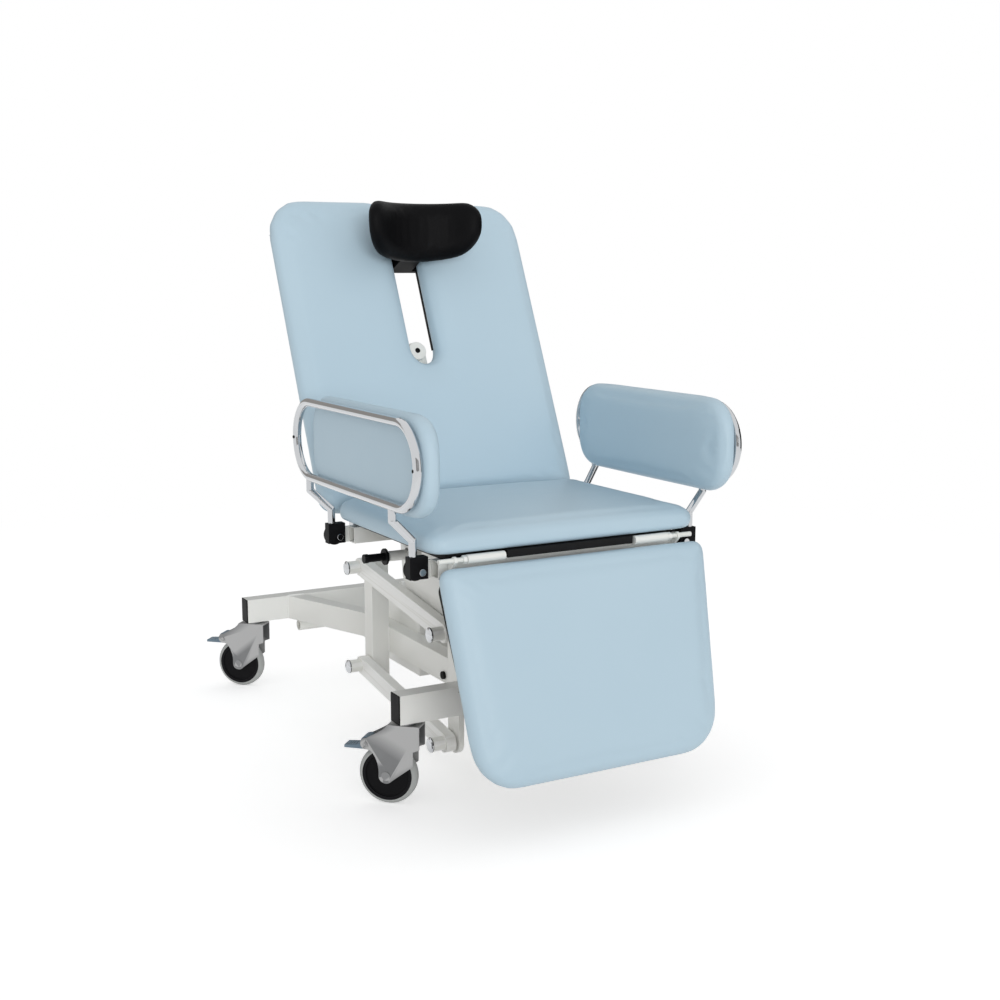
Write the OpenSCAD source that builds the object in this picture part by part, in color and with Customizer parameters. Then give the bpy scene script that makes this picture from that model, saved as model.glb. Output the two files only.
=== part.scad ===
// Ear, nose and throat examination chair on a parallelogram lift and four braked castors.
// +Z up, X to the right, Y to the rear; the chair faces -Y and stands on z = 0.

/* [Base] */
// Half the length of the two cross beams, end caps included
beam_half = 299; // [260:1:340]
// Front to back size of a cross beam
beam_t = 40; // [36:1:46]
// Height of the beams and rails
beam_h = 61; // [50:1:66]
// Underside of the beams above the floor
beam_z = 176; // [172:1:182]
// From the middle of the base to the front face of each beam
beam_reach = 465; // [455:1:490]
// Wall of the beams, rails and posts
tube_wall = 3; // [2:0.5:4]
// Outer face of the straight rails from the centre plane
rail_x = 87; // [80:1:92]
// Width of a rail
rail_w = 40; // [34:1:42]
// Where the straight rails start to splay, behind the middle of the base
splay_y = 204; // [180:1:240]
// Outer face of a splayed rail at the rear beam
splay_x = 187; // [160:1:210]
// Thickness of the plastic end caps
cap_t = 3; // [2:0.5:5]
// Half the length of the low tube under the rear beam
under_half = 151; // [120:1:170]
// Diameter of the low tube under the rear beam
under_d = 30; // [24:1:34]
// Gap between the low tube and the rear beam
under_drop = 12; // [8:1:16]

/* [Lift] */
// Width of a lift post
post_w = 43; // [38:1:44]
// Front to back size of a lift post
post_t = 45; // [42:1:52]
// Middle of the posts behind the middle of the base
post_y = 67; // [50:1:85]
// Top of the posts
post_top = 407; // [404:1:420]
// Bottom of the posts
post_bottom = 118; // [100:1:122]
// Height of the upper fixed pivots
pivot_high = 387; // [380:1:390]
// Height of the lower fixed pivots
pivot_low = 146; // [142:1:150]
// From the rear of the front beam back to the front pivots
pivot_setback = 53; // [48:1:60]
// How far an arm slopes down to the front at the lowest height
arm_slope = 7.7; // [6:0.1:9]
// Depth of a lift arm
arm_d = 42; // [36:1:46]
// Thickness of a lift arm
arm_t = 22; // [18:1:24]
// Outside diameter of the boss on an arm end
boss_d = 30; // [26:1:34]
// Length of the boss outside the arm
boss_len = 28; // [20:1:30]
// Diameter of a pivot pin
pin_d = 16; // [12:1:18]
// Diameter of the domed cap on a pivot pin
dome_d = 33; // [31:1:34]
// Height of the domed cap
dome_h = 6; // [4:1:7]
// Thickness of the black ring under a cap
ring_t = 2; // [1:0.5:3]
// Thickness of a link plate
link_t = 12; // [8:1:12]
// Radius of a link plate round its pivots
link_r = 26; // [24:1:28]

/* [Castors] */
// Diameter of a castor wheel
wheel_d = 125; // [110:1:125]
// Width of a tyre
tyre_w = 28; // [24:1:30]
// Depth of the tyre on its wheel
tyre_t = 9; // [8:1:12]
// Distance from the swivel axis back to the wheel axle
trail = 38; // [32:1:39]
// Distance of the swivel axes from the centre plane
stem_x = 274; // [270:1:278]
// Direction in which the front castors trail, from the right-hand side
trail_front_angle = 44; // [20:1:60]
// Direction in which the rear castors trail, from the right-hand side
trail_rear_angle = 44; // [20:1:60]
// Thickness of the pressed fork
fork_t = 3.5; // [2.5:0.5:4]
// Half the length of the fork's top
fork_half = 34; // [30:1:36]
// Diameter of a castor axle
axle_d = 12; // [10:1:14]
// Width of a brake pedal
pedal_w = 30; // [24:1:34]

/* [Seat] */
// Half the width of the seat cushion
seat_half = 312; // [300:1:312]
// Front of the seat cushion before the middle of the base
seat_front = 642; // [640:1:650]
// Rear of the seat cushion before the middle of the base
seat_rear = 159; // [159:1:166]
// Underside of the seat cushion
seat_z = 553; // [553:1:556]
// Thickness of the seat cushion at its edge
seat_t = 48; // [40:1:56]
// Crown of the seat cushion in the middle
seat_crown = 9; // [4:1:14]
// Thickness of the boards under the cushions
board_t = 15; // [10:1:16]
// Height of the seat frame tubes
frame_h = 35; // [30:1:37]
// Width of the seat frame tubes
frame_w = 30; // [26:1:34]

/* [Backrest] */
// Lean of the backrest from upright
recline = 24.6; // [20:0.1:28]
// Half the width of the back cushion
back_half = 325; // [300:1:330]
// Length of the back cushion
back_len = 756; // [700:1:780]
// Thickness of the back cushion
back_t = 48; // [40:1:50]
// Crown of the back cushion
back_crown = 6; // [3:1:8]
// Bottom of the back cushion above the floor, at its front face
back_z = 565; // [564:1:570]
// Half the width of the slot for the head support
slot_half = 30.5; // [28:0.5:34]
// Bottom of the slot above the bottom of the cushion
slot_low = 343; // [320:1:380]
// Corner radius at the top of the back cushion
back_corner = 88; // [70:1:95]
// Corner radius at the bottom of the back cushion
back_foot_corner = 40; // [30:1:60]
// Depth of the tubes behind the backrest
back_tube_t = 25; // [22:1:28]

/* [Head support] */
// Width of the head support cushion along its curve
head_w = 324; // [300:1:330]
// Height of the head support cushion
head_h = 138; // [130:1:146]
// Thickness of the head support cushion
head_t = 36; // [30:1:44]
// Radius of the hollow face of the head support
head_r = 137; // [132:1:160]
// Middle of the head support below the top of the back cushion
head_drop = 108; // [100:1:120]
// Back of the head support before the face of the back cushion
head_out = 42; // [42:1:50]
// Forward tilt of the head support from the line of the backrest
head_tilt_angle = 20; // [14:1:22]

/* [Leg section] */
// Lean of the leg section from upright, foot end forward
leg_lean = 15; // [12:0.5:18]
// Length of the leg cushion
leg_len = 428; // [400:1:440]
// Half the width of the leg cushion at the knee
leg_half = 306; // [290:1:312]
// Half the width of the leg cushion at the foot end
leg_foot_half = 276; // [260:1:300]
// Thickness of the leg cushion
leg_t = 47; // [40:1:47]
// Crown of the leg cushion
leg_crown = 6; // [3:1:8]
// Knee hinge line before the middle of the base
knee_y = 632; // [630:1:634]
// Knee hinge line above the floor
knee_z = 543; // [542:1:543]
// Diameter of the knee hinge pins
knee_d = 10; // [8:1:12]

/* [Armrests] */
// Distance of the tube loops from the centre plane
loop_x = 361; // [358:1:370]
// Diameter of the loop tube
loop_d = 18; // [16:1:20]
// Lower centre line of a loop
loop_low = 648; // [640:1:655]
// Upper centre line of a loop
loop_high = 808; // [790:1:825]
// Front end of the loops, on the centre line
loop_front = 691; // [680:1:700]
// Rear end of the loops, on the centre line
loop_rear = 95; // [90:1:130]
// Thickness of an arm cushion
arm_pad_t = 42; // [34:1:42]
// Front end of an arm cushion
arm_pad_front = 706; // [700:1:715]
// Rear end of an arm cushion
arm_pad_rear = 150; // [150:1:160]
// Lower edge of an arm cushion
arm_pad_low = 628; // [624:1:634]
// Upper edge of an arm cushion
arm_pad_high = 827; // [810:1:835]
// Corner radius of an arm cushion
arm_pad_corner = 72; // [50:1:95]
// Distance of the armrest pivots from the centre plane
swing_x = 308; // [306:1:310]
// Height of the armrest pivots
swing_z = 519; // [517:1:520]
// Front armrest pivot before the middle of the base
swing_front = 586; // [580:1:590]
// Rear armrest pivot before the middle of the base
swing_rear = 185; // [182:1:190]
// Width of a pivot block
block_w = 38; // [37:1:42]
// Height of a pivot block
block_h = 43; // [40:1:43]
// Length of a pivot block along its pivot
block_len = 21; // [20:1:26]

/* [Release lever] */
// Where the lever stands under the seat, before the middle of the base
lever_y = 300; // [250:1:350]
// Height of the lever
lever_z = 489; // [486:1:490]
// Distance of the lever's flange from the centre plane
lever_x = 248; // [240:1:260]
// Length of the lever's grip
grip_len = 50; // [40:1:60]
// Diameter of the lever's flange
flange_d = 35; // [28:1:38]

/* [Hidden] */
$fn = 48;

// Clearances: overrun of a cut, radial running fit, side gap of a turning piece, gap at a soft piece
over = 1;
fit = 0.05;
side_gap = 0.5;
soft_gap = 0.3;

// Colours
frame_white = [0.84, 0.84, 0.82];
vinyl_blue = [0.70, 0.80, 0.86];
black = [0.06, 0.06, 0.07];
chrome = [0.78, 0.79, 0.80];
fork_grey = [0.60, 0.60, 0.60];
pedal_blue = [0.33, 0.41, 0.48];
tyre_grey = [0.66, 0.67, 0.66];

// Places along the base
front_stem_y = -beam_reach + beam_t / 2;
rear_stem_y = beam_reach + beam_t / 2;
link_y = -beam_reach + beam_t + pivot_setback;
arm_len = (post_y - link_y) / cos(arm_slope);
link_drop = arm_len * sin(arm_slope);
link_high = pivot_high - link_drop;
link_low = pivot_low - link_drop;
post_in = rail_x;
post_out = rail_x + post_w;
link_gap = 4;
arm_in = post_out + link_gap / 2;
arm_out = arm_in + arm_t;
boss_out = arm_out + boss_len;
link_out = post_out - link_gap / 2;
link_in = link_out - link_t;
pin_r = pin_d / 2;

// Seat frame
bar_end = 278;
frame_top = seat_z - soft_gap - board_t;
frame_low = frame_top - frame_h;
front_bar_y = -swing_front + block_len / 2 + side_gap - frame_w;
rear_bar_y = -swing_rear + block_len / 2 + side_gap - frame_w;
side_rail_x = (link_in + link_out) / 2 - frame_w / 2;
lug_t = 5;

// Backrest frame of reference: s runs up the back, n stands out to the front of its face
back_edge_gap = 6;
back_y = -(seat_rear - back_edge_gap);
board_back = 12;
tube_n = -(back_t + board_back);
back_pivot_s = -15;
back_pivot_n = tube_n - back_tube_t / 2;
back_pivot_y = back_y + back_pivot_s * sin(recline) - back_pivot_n * cos(recline);
back_pivot_z = back_z + back_pivot_s * cos(recline) + back_pivot_n * sin(recline);
back_tube_x = 205;
back_lug_x = 196;
back_lug_t = 8;
head_s = back_len - head_drop;

// Leg section: the cushion hangs below the knee hinge line
leg_drop = 12;
leg_back = 3;
leg_out = leg_t - leg_back;
leg_round = 6.2;
leg_front = knee_y + (leg_drop + leg_len) * sin(leg_lean) + leg_out * cos(leg_lean) - leg_round;

// The origin is under the middle of the whole chair
pedal_reach = 130;
rear_end = rear_stem_y + pedal_reach * sin(trail_rear_angle) + pedal_w / 2 * cos(trail_rear_angle);
middle_y = (leg_front - rear_end) / 2;

module at_base() { translate([0, middle_y, 0]) children(); }
module both() { children(); mirror([1, 0, 0]) children(); }
module on_back() { at_base() translate([0, back_y, back_z]) rotate([-recline, 0, 0]) children(); }
module on_leg() { at_base() translate([0, -knee_y, knee_z]) rotate([-leg_lean, 0, 0]) children(); }
// A cylinder along X from x0 to x1, through (y, z)
module rod_x(x0, x1, y, z, r) { translate([x0, y, z]) rotate([0, 90, 0]) cylinder(r = r, h = x1 - x0); }
// A cylinder along Y from y0 to y1, through (x, z)
module rod_y(y0, y1, x, z, r) { translate([x, y0, z]) rotate([-90, 0, 0]) cylinder(r = r, h = y1 - y0); }
// A plate between x0 and x1 with its outline given as (y, z) points
module plate_x(x0, x1, points) {
    translate([x0, 0, 0]) rotate([90, 0, 90]) linear_extrude(x1 - x0) polygon(points);
}
// A plate between y0 and y1 with its outline given as (x, z) points
module plate_y(y0, y1, points) {
    translate([0, y1, 0]) rotate([90, 0, 0]) linear_extrude(y1 - y0) polygon(points);
}
// A straight tube between two points, with a slightly larger ball at its second end
ball_share = 1.02;
module tube_run(p, q, r) {
    d = q - p;
    translate(p) rotate([0, acos(d[2] / norm(d)), atan2(d[1], d[0])]) cylinder(r = r, h = norm(d));
    translate(q) sphere(r = ball_share * r);
}
// A box from one corner to the other
module box(low, high) { translate(low) cube(high - low); }
// A square tube along X, Y or Z, open at both ends
module tube_box(low, high, axis) {
    in_low = [for (i = [0:2]) i == axis ? low[i] - over : low[i] + tube_wall];
    in_high = [for (i = [0:2]) i == axis ? high[i] + over : high[i] - tube_wall];
    difference() {
        box(low, high);
        box(in_low, in_high);
    }
}

// Base: two cross beams, two rails that splay to the rear, two posts
socket_r = 10;
flange_t = 3.5;
module beam(y0) {
    color(frame_white) difference() {
        tube_box([-beam_half + cap_t, y0, beam_z], [beam_half - cap_t, y0 + beam_t, beam_z + beam_h], 0);
        both() translate([stem_x, y0 + beam_t / 2, beam_z - over])
            cylinder(r = socket_r, h = tube_wall + 2 * over);
    }
}
module base_front_beam() { at_base() beam(-beam_reach); }
module base_rear_beam() { at_base() beam(beam_reach); }

function splay_angle() = atan((splay_x - rail_x) / (beam_reach - splay_y));
function rail_outline(wall) = let(
        w = rail_w / cos(splay_angle()),
        skew = wall / cos(splay_angle()),
        bend = rail_w * tan(splay_angle() / 2),
        turn = wall * tan(splay_angle() / 2))
    [[rail_x - wall, -beam_reach + beam_t], [rail_x - wall, splay_y + turn], [splay_x - skew, beam_reach],
     [splay_x - w + skew, beam_reach], [rail_x - rail_w + wall, splay_y + bend - turn],
     [rail_x - rail_w + wall, -beam_reach + beam_t]];
module rail_bar(wall, low, high) {
    translate([0, 0, low]) linear_extrude(high - low) polygon(rail_outline(wall));
}
module base_rails() {
    at_base() both() color(frame_white) difference() {
        rail_bar(0, beam_z, beam_z + beam_h);
        rail_bar(tube_wall, beam_z + tube_wall, beam_z + beam_h - tube_wall);
    }
}
module base_end_caps() {
    at_base() both() for (y = [-beam_reach, beam_reach])
        color(black) box([beam_half - cap_t, y, beam_z], [beam_half, y + beam_t, beam_z + beam_h]);
}
// The low tube hangs on two plates from the rear beam
hanger_x = 100;
hanger_t = 8;
module base_under_tube() {
    z = beam_z - under_drop - under_d / 2;
    y = beam_reach + beam_t / 2;
    at_base() color(frame_white) {
        difference() {
            rod_x(-under_half, under_half, y, z, under_d / 2);
            rod_x(-under_half - over, under_half + over, y, z, under_d / 2 - tube_wall);
        }
        difference() {
            both() box([hanger_x, y - under_d / 3, z], [hanger_x + hanger_t, y + under_d / 3, beam_z]);
            rod_x(-under_half, under_half, y, z, under_d / 2 - tube_wall / 2);
        }
    }
}
module base_posts() {
    low = [post_in, post_y - post_t / 2, post_bottom];
    high = [post_out, post_y + post_t / 2, post_top];
    at_base() both() color(frame_white) difference() {
        tube_box(low, high, 2);
        for (z = [pivot_low, pivot_high]) rod_x(post_in - over, post_out + over, post_y, z, pin_r + fit);
    }
}
kingpin_r = 6;
socket_h = 44;
kingpin_h = 38;
module castor_sockets() {
    at_base() both() for (y = [front_stem_y, rear_stem_y]) translate([stem_x, y, beam_z - flange_t])
        color(fork_grey) difference() {
            union() {
                cylinder(r = beam_t / 2, h = flange_t);
                cylinder(r = socket_r - fit, h = socket_h);
            }
            translate([0, 0, -over]) cylinder(r = kingpin_r + fit, h = kingpin_h + 2 * over);
        }
}
// Rubber stops on the rails beside the link plates
buffer_y = -248;
buffer_z = 194;
buffer_r = 9;
buffer_t = 6;
module rail_buffers() {
    at_base() both() color(black) rod_x(rail_x, rail_x + buffer_t, buffer_y, buffer_z, buffer_r);
}
// Housing of the lift drive between the rails
housing_front = -40;
housing_rear = 140;
housing_low = 130;
housing_high = 300;
module lift_housing() {
    half = rail_x - rail_w;
    at_base() color(frame_white) box([-half, housing_front, housing_low], [half, housing_rear, housing_high]);
}
// A turned pin with a domed cap at its outer end
module pivot_pin(x0, y, z) {
    rod_x(x0, boss_out + ring_t + over, y, z, pin_r);
    translate([boss_out + ring_t, y, z]) intersection() {
        scale([2 * dome_h / dome_d, 1, 1]) sphere(d = dome_d);
        rotate([0, 90, 0]) cylinder(d = dome_d, h = dome_h);
    }
}
module pivot_ring(y, z) {
    difference() {
        rod_x(boss_out + side_gap / 2, boss_out + ring_t, y, z, dome_d / 2);
        rod_x(boss_out - over, boss_out + ring_t + over, y, z, pin_r + fit);
    }
}
module base_pivot_pins() {
    at_base() both() color(chrome) for (z = [pivot_low, pivot_high]) pivot_pin(post_in + over, post_y, z);
}
module base_pivot_rings() {
    at_base() both() color(black) for (z = [pivot_low, pivot_high]) pivot_ring(post_y, z);
}

// Castors: built trailing towards +X and then turned about their stems
wheel_r = wheel_d / 2;
fork_top = beam_z - flange_t - side_gap;
fork_in = tyre_w / 2 + fork_t;
ear_x = trail + 0.68 * wheel_r;
ear_z = 2.05 * wheel_r;
ear_r = 8;
ear_pin_r = 4;
horn_r = 1.5 * ear_r;
hub_r = 1.75 * ear_r;
tip_r = wheel_r / 4;
tip_share = 0.97;
heel_lean = 37;
heel_share = 0.97;
brow_shares = [[-0.54, 1.98], [-0.32, 1.89]];
function bow(p, q, r, s, n) = [for (i = [0:n]) let (t = i / n)
    pow(1 - t, 3) * p + 3 * t * pow(1 - t, 2) * q + 3 * t * t * (1 - t) * r + pow(t, 3) * s];
tyre_bead = tyre_w / 4;
module castor_place(right, rear) {
    lead = rear ? trail_rear_angle : trail_front_angle;
    at_base() translate([right ? stem_x : -stem_x, rear ? rear_stem_y : front_stem_y, 0])
        rotate([0, 0, right ? lead : 180 - lead]) children();
}
module castor_fork() {
    tip = [trail, wheel_r];
    ear = [ear_x, ear_z];
    toe = tip - tip_share * tip_r * [sin(heel_lean), cos(heel_lean)];
    heel = toe + heel_share * wheel_r * [-cos(heel_lean), sin(heel_lean)];
    brow = [for (share = brow_shares) wheel_r * share];
    cheek = concat([[-fork_half, fork_top], brow[0], brow[1], heel, toe],
        bow(tip + [tip_share * tip_r, 0], tip + wheel_r * [0.22, 0.45], tip + wheel_r * [0.42, 0.9],
            ear - [0, tip_share * horn_r], 6),
        bow(ear + [0, tip_share * horn_r], tip + wheel_r * [0.38, 1.41], tip + wheel_r * [0.06, 1.53],
            [fork_half, fork_top], 6));
    color(fork_grey) {
        difference() {
            union() {
                box([-fork_half, -fork_in - fork_t, fork_top - fork_t],
                    [fork_half, fork_in + fork_t, fork_top]);
                for (y = [-fork_in - fork_t, fork_in]) {
                    plate_y(y, y + fork_t, cheek);
                    rod_y(y, y + fork_t, trail, wheel_r, tip_r);
                    rod_y(y, y + fork_t, ear_x, ear_z, horn_r);
                }
                translate([0, 0, fork_top - fork_t])
                    cylinder(r = kingpin_r, h = fork_t + side_gap + kingpin_h);
            }
            rod_y(-fork_in - fork_t - over, fork_in + fork_t + over, trail, wheel_r, axle_d / 2 + fit);
            rod_y(-fork_in - fork_t - over, fork_in + fork_t + over, ear_x, ear_z, ear_pin_r + fit);
        }
    }
    color(chrome) {
        reach = fork_in + fork_t;
        head_t = fork_t / 3;
        rod_y(-reach, reach, trail, wheel_r, axle_d / 2);
        for (y = [-reach - head_t, reach]) rod_y(y, y + head_t, trail, wheel_r, 0.8 * axle_d);
        rod_y(-reach - fork_t / 2, reach + fork_t / 2, ear_x, ear_z, ear_pin_r);
    }
}
module castor_wheel() {
    core_r = wheel_r - tyre_t;
    web = 0.36 * tyre_w;
    color(black) translate([trail, 0, wheel_r]) rotate([90, 0, 0]) rotate_extrude() polygon([
        [axle_d / 2 + fit, -tyre_w / 2 - fork_t / 2], [axle_d, -tyre_w / 2 - fork_t / 2], [axle_d, -web],
        [core_r - tyre_bead, -web], [core_r - tyre_bead, -tyre_w / 2 + side_gap],
        [core_r, -tyre_w / 2 + side_gap], [core_r, tyre_w / 2 - side_gap],
        [core_r - tyre_bead, tyre_w / 2 - side_gap], [core_r - tyre_bead, web],
        [axle_d, web], [axle_d, tyre_w / 2 + fork_t / 2], [axle_d / 2 + fit, tyre_w / 2 + fork_t / 2]]);
}
module castor_tyre() {
    core_r = wheel_r - tyre_t;
    color(tyre_grey) translate([trail, 0, wheel_r]) rotate([90, 0, 0]) rotate_extrude() polygon([
        [core_r, -tyre_w / 2], [wheel_r - tyre_bead, -tyre_w / 2], [wheel_r - tyre_bead / 3, -tyre_w / 3],
        [wheel_r, -tyre_w / 6], [wheel_r, tyre_w / 6], [wheel_r - tyre_bead / 3, tyre_w / 3],
        [wheel_r - tyre_bead, tyre_w / 2], [core_r, tyre_w / 2]]);
}
pedal_t = 6;
module castor_pedal() {
    foot_z = ear_z - hub_r;
    color(pedal_blue) difference() {
        union() {
            rod_y(-pedal_w / 2, pedal_w / 2, ear_x, ear_z, hub_r);
            plate_y(-pedal_w / 2, pedal_w / 2, [[ear_x, ear_z], [ear_x, ear_z - tip_share * hub_r],
                [ear_x + 1.2 * hub_r, foot_z], [pedal_reach, foot_z], [pedal_reach, foot_z + pedal_t],
                [ear_x + 1.7 * hub_r, foot_z + 1.3 * pedal_t], [ear_x + tip_share * hub_r, ear_z]]);
        }
        rod_y(-pedal_w, pedal_w, ear_x, ear_z, ear_pin_r + fit);
    }
}
module castor_fl_fork() { castor_place(false, false) castor_fork(); }
module castor_fl_wheel() { castor_place(false, false) castor_wheel(); }
module castor_fl_tyre() { castor_place(false, false) castor_tyre(); }
module castor_fl_pedal() { castor_place(false, false) castor_pedal(); }
module castor_fr_fork() { castor_place(true, false) castor_fork(); }
module castor_fr_wheel() { castor_place(true, false) castor_wheel(); }
module castor_fr_tyre() { castor_place(true, false) castor_tyre(); }
module castor_fr_pedal() { castor_place(true, false) castor_pedal(); }
module castor_rl_fork() { castor_place(false, true) castor_fork(); }
module castor_rl_wheel() { castor_place(false, true) castor_wheel(); }
module castor_rl_tyre() { castor_place(false, true) castor_tyre(); }
module castor_rl_pedal() { castor_place(false, true) castor_pedal(); }
module castor_rr_fork() { castor_place(true, true) castor_fork(); }
module castor_rr_wheel() { castor_place(true, true) castor_wheel(); }
module castor_rr_tyre() { castor_place(true, true) castor_tyre(); }
module castor_rr_pedal() { castor_place(true, true) castor_pedal(); }

// Lift: two pairs of equal arms between the posts and the link plates
// An arm is a flat bar between two round ends that stand a little proud of it
arm_web_share = 0.98;
module lift_arm(z) {
    ends = [[post_y, z], [link_y, z - link_drop]];
    web = arm_web_share * arm_d / 2;
    difference() {
        union() {
            translate([arm_in, post_y, z]) rotate([arm_slope, 0, 0])
                box([0, -arm_len, -web], [arm_t, 0, web]);
            for (p = ends) {
                rod_x(arm_in, arm_out, p[0], p[1], arm_d / 2);
                rod_x(arm_out - over, boss_out, p[0], p[1], boss_d / 2);
            }
        }
        for (p = ends) rod_x(arm_in - over, boss_out + over, p[0], p[1], pin_r + fit);
    }
}
module upper_arms() { at_base() both() color(frame_white) lift_arm(pivot_high); }
module lower_arms() { at_base() both() color(frame_white) lift_arm(pivot_low); }

// Link plates: they hang from the seat frame and carry the front ends of the arms
wing_rear = -110;
wing_points_y = [-275, -165, -125];
wing_points_z = [330, 352, 400];
module link_plates() {
    at_base() both() color(frame_white) difference() {
        union() {
            plate_x(link_in, link_out, concat(
                [[link_y - link_r, link_low], [link_y + link_r, link_low],
                 [link_y + link_r, link_high - link_r]],
                [for (i = [0:2]) [wing_points_y[i], wing_points_z[i]]],
                [[wing_rear, frame_low], [link_y - link_r, frame_low]]));
            rod_x(link_in, link_out, link_y, link_low, link_r);
        }
        for (z = [link_low, link_high]) rod_x(link_in - over, link_out + over, link_y, z, pin_r + fit);
    }
}
// Tubes between the link plates: behind the upper pivots and under the rear of the seat
link_tube_d = 34;
link_tube_wall = 3;
link_tube_insets = [20, 30];
link_tube_drops = [90, 40];
link_tube_y = [link_y + link_r + link_tube_insets[0], wing_rear - link_tube_insets[1]];
link_tube_z = [for (drop = link_tube_drops) frame_low - drop];
module link_tubes() {
    at_base() color(frame_white) for (i = [0, 1]) difference() {
        rod_x(-link_in, link_in, link_tube_y[i], link_tube_z[i], link_tube_d / 2);
        rod_x(-link_in - over, link_in + over, link_tube_y[i], link_tube_z[i],
              link_tube_d / 2 - link_tube_wall);
    }
}
module link_pins() {
    at_base() both() color(chrome) for (z = [link_low, link_high]) pivot_pin(link_in + over, link_y, z);
}
module link_rings() { at_base() both() color(black) for (z = [link_low, link_high]) pivot_ring(link_y, z); }

// Seat frame: two cross bars, two rails on the link plates, lever bracket and backrest lugs
lever_pivot_x = 185;
cheek_t = 5;
cheek_gap = 6;
cheek_half = 15;
lug_r = 16;
rear_face_y = rear_bar_y + frame_w;
module seat_frame() {
    at_base() color(frame_white) {
        for (y = [front_bar_y, rear_bar_y])
            tube_box([-bar_end, y, frame_low], [bar_end, y + frame_w, frame_top], 0);
        both() tube_box([side_rail_x, front_bar_y + frame_w, frame_low],
                        [side_rail_x + frame_w, rear_bar_y, frame_top], 1);
        both() difference() {
            union() {
                plate_x(back_lug_x, back_lug_x + back_lug_t, [[rear_face_y, frame_low],
                    [back_pivot_y, back_pivot_z - lug_r], [back_pivot_y, back_pivot_z + lug_r],
                    [rear_face_y, frame_top]]);
                rod_x(back_lug_x, back_lug_x + back_lug_t, back_pivot_y, back_pivot_z, lug_r);
            }
            rod_x(back_lug_x - over, back_lug_x + back_lug_t + over, back_pivot_y, back_pivot_z, pin_r + fit);
        }
        // Bracket of the release lever, on the left side
        difference() {
            union() {
                box([-lever_pivot_x - cheek_half, -lever_y - cheek_half, frame_low],
                    [-side_rail_x - frame_w, -lever_y + cheek_half, frame_low + 2 * cheek_t]);
                for (y = [-lever_y - cheek_gap - cheek_t, -lever_y + cheek_gap])
                    box([-lever_pivot_x - cheek_half, y, lever_z - cheek_half],
                        [-lever_pivot_x + cheek_half, y + cheek_t, frame_low]);
            }
            rod_y(-lever_y - 2 * cheek_half, -lever_y + 2 * cheek_half,
                  -lever_pivot_x, lever_z, ear_pin_r + fit);
        }
    }
}
// Board under the seat cushion, with a tongue between the knee hinges
board_half = 264;
tongue_half = 145;
tongue_front = 636;
board_rear = 168;
module seat_board() {
    at_base() color(black) translate([0, 0, frame_top]) linear_extrude(board_t) polygon([
        [-board_half, front_bar_y + side_gap], [-tongue_half, front_bar_y + side_gap],
        [-tongue_half, -tongue_front], [tongue_half, -tongue_front],
        [tongue_half, front_bar_y + side_gap], [board_half, front_bar_y + side_gap],
        [board_half, -board_rear], [-board_half, -board_rear]]);
}
sleeve_in = 150;
sleeve_out = 232;
sleeve_r = 9;
knee_r = knee_d / 2;
module knee_sleeves() {
    at_base() both() color(frame_white) difference() {
        union() {
            rod_x(sleeve_in, sleeve_out, -knee_y, knee_z, sleeve_r);
            box([sleeve_in, -knee_y, knee_z - sleeve_r], [sleeve_out, front_bar_y, knee_z]);
        }
        rod_x(sleeve_in - over, sleeve_out + over, -knee_y, knee_z, knee_r + fit);
    }
}
pin_head_t = 3;
back_pin_end = back_tube_x + frame_w + side_gap;
module back_pins() {
    at_base() both() color(chrome) {
        rod_x(back_lug_x, back_pin_end, back_pivot_y, back_pivot_z, pin_r);
        rod_x(back_pin_end, back_pin_end + pin_head_t, back_pivot_y, back_pivot_z, 1.5 * pin_r);
        rod_x(back_lug_x - pin_head_t, back_lug_x, back_pivot_y, back_pivot_z, 1.5 * pin_r);
    }
}

// Armrest pivots: lug plates on the cross bars, bolts along Y, black washers behind
bolt_r = 4;
bolt_head_r = 7;
bolt_head_t = 4;
washer_r = 22;
washer_t = 12;
arm_lug_in = 240;
arm_lug_r = 17;
swing_ys = [-swing_front, -swing_rear];
function lug_face(y) = y + block_len / 2 + side_gap;
module arm_lugs() {
    at_base() both() color(frame_white) for (y = swing_ys) difference() {
        union() {
            plate_y(lug_face(y), lug_face(y) + lug_t, [[arm_lug_in, frame_low],
                [swing_x, swing_z - arm_lug_r], [swing_x, swing_z + arm_lug_r], [arm_lug_in, frame_top]]);
            rod_y(lug_face(y), lug_face(y) + lug_t, swing_x, swing_z, arm_lug_r);
        }
        rod_y(lug_face(y) - over, lug_face(y) + lug_t + over, swing_x, swing_z, bolt_r + fit);
    }
}
module arm_washers() {
    at_base() both() color(black) for (y = swing_ys) difference() {
        rod_y(lug_face(y) + lug_t, lug_face(y) + lug_t + washer_t, swing_x, swing_z, washer_r);
        rod_y(lug_face(y), lug_face(y) + lug_t + 2 * washer_t, swing_x, swing_z, bolt_r + fit);
    }
}
module arm_bolts() {
    at_base() both() color(chrome) for (y = swing_ys) {
        head = y - block_len / 2 - soft_gap;
        tail = lug_face(y) + lug_t + washer_t;
        rod_y(head, tail, swing_x, swing_z, bolt_r);
        rod_y(head - bolt_head_t, head, swing_x, swing_z, bolt_head_r);
        rod_y(tail, tail + bolt_head_t, swing_x, swing_z, bolt_head_r);
    }
}

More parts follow.
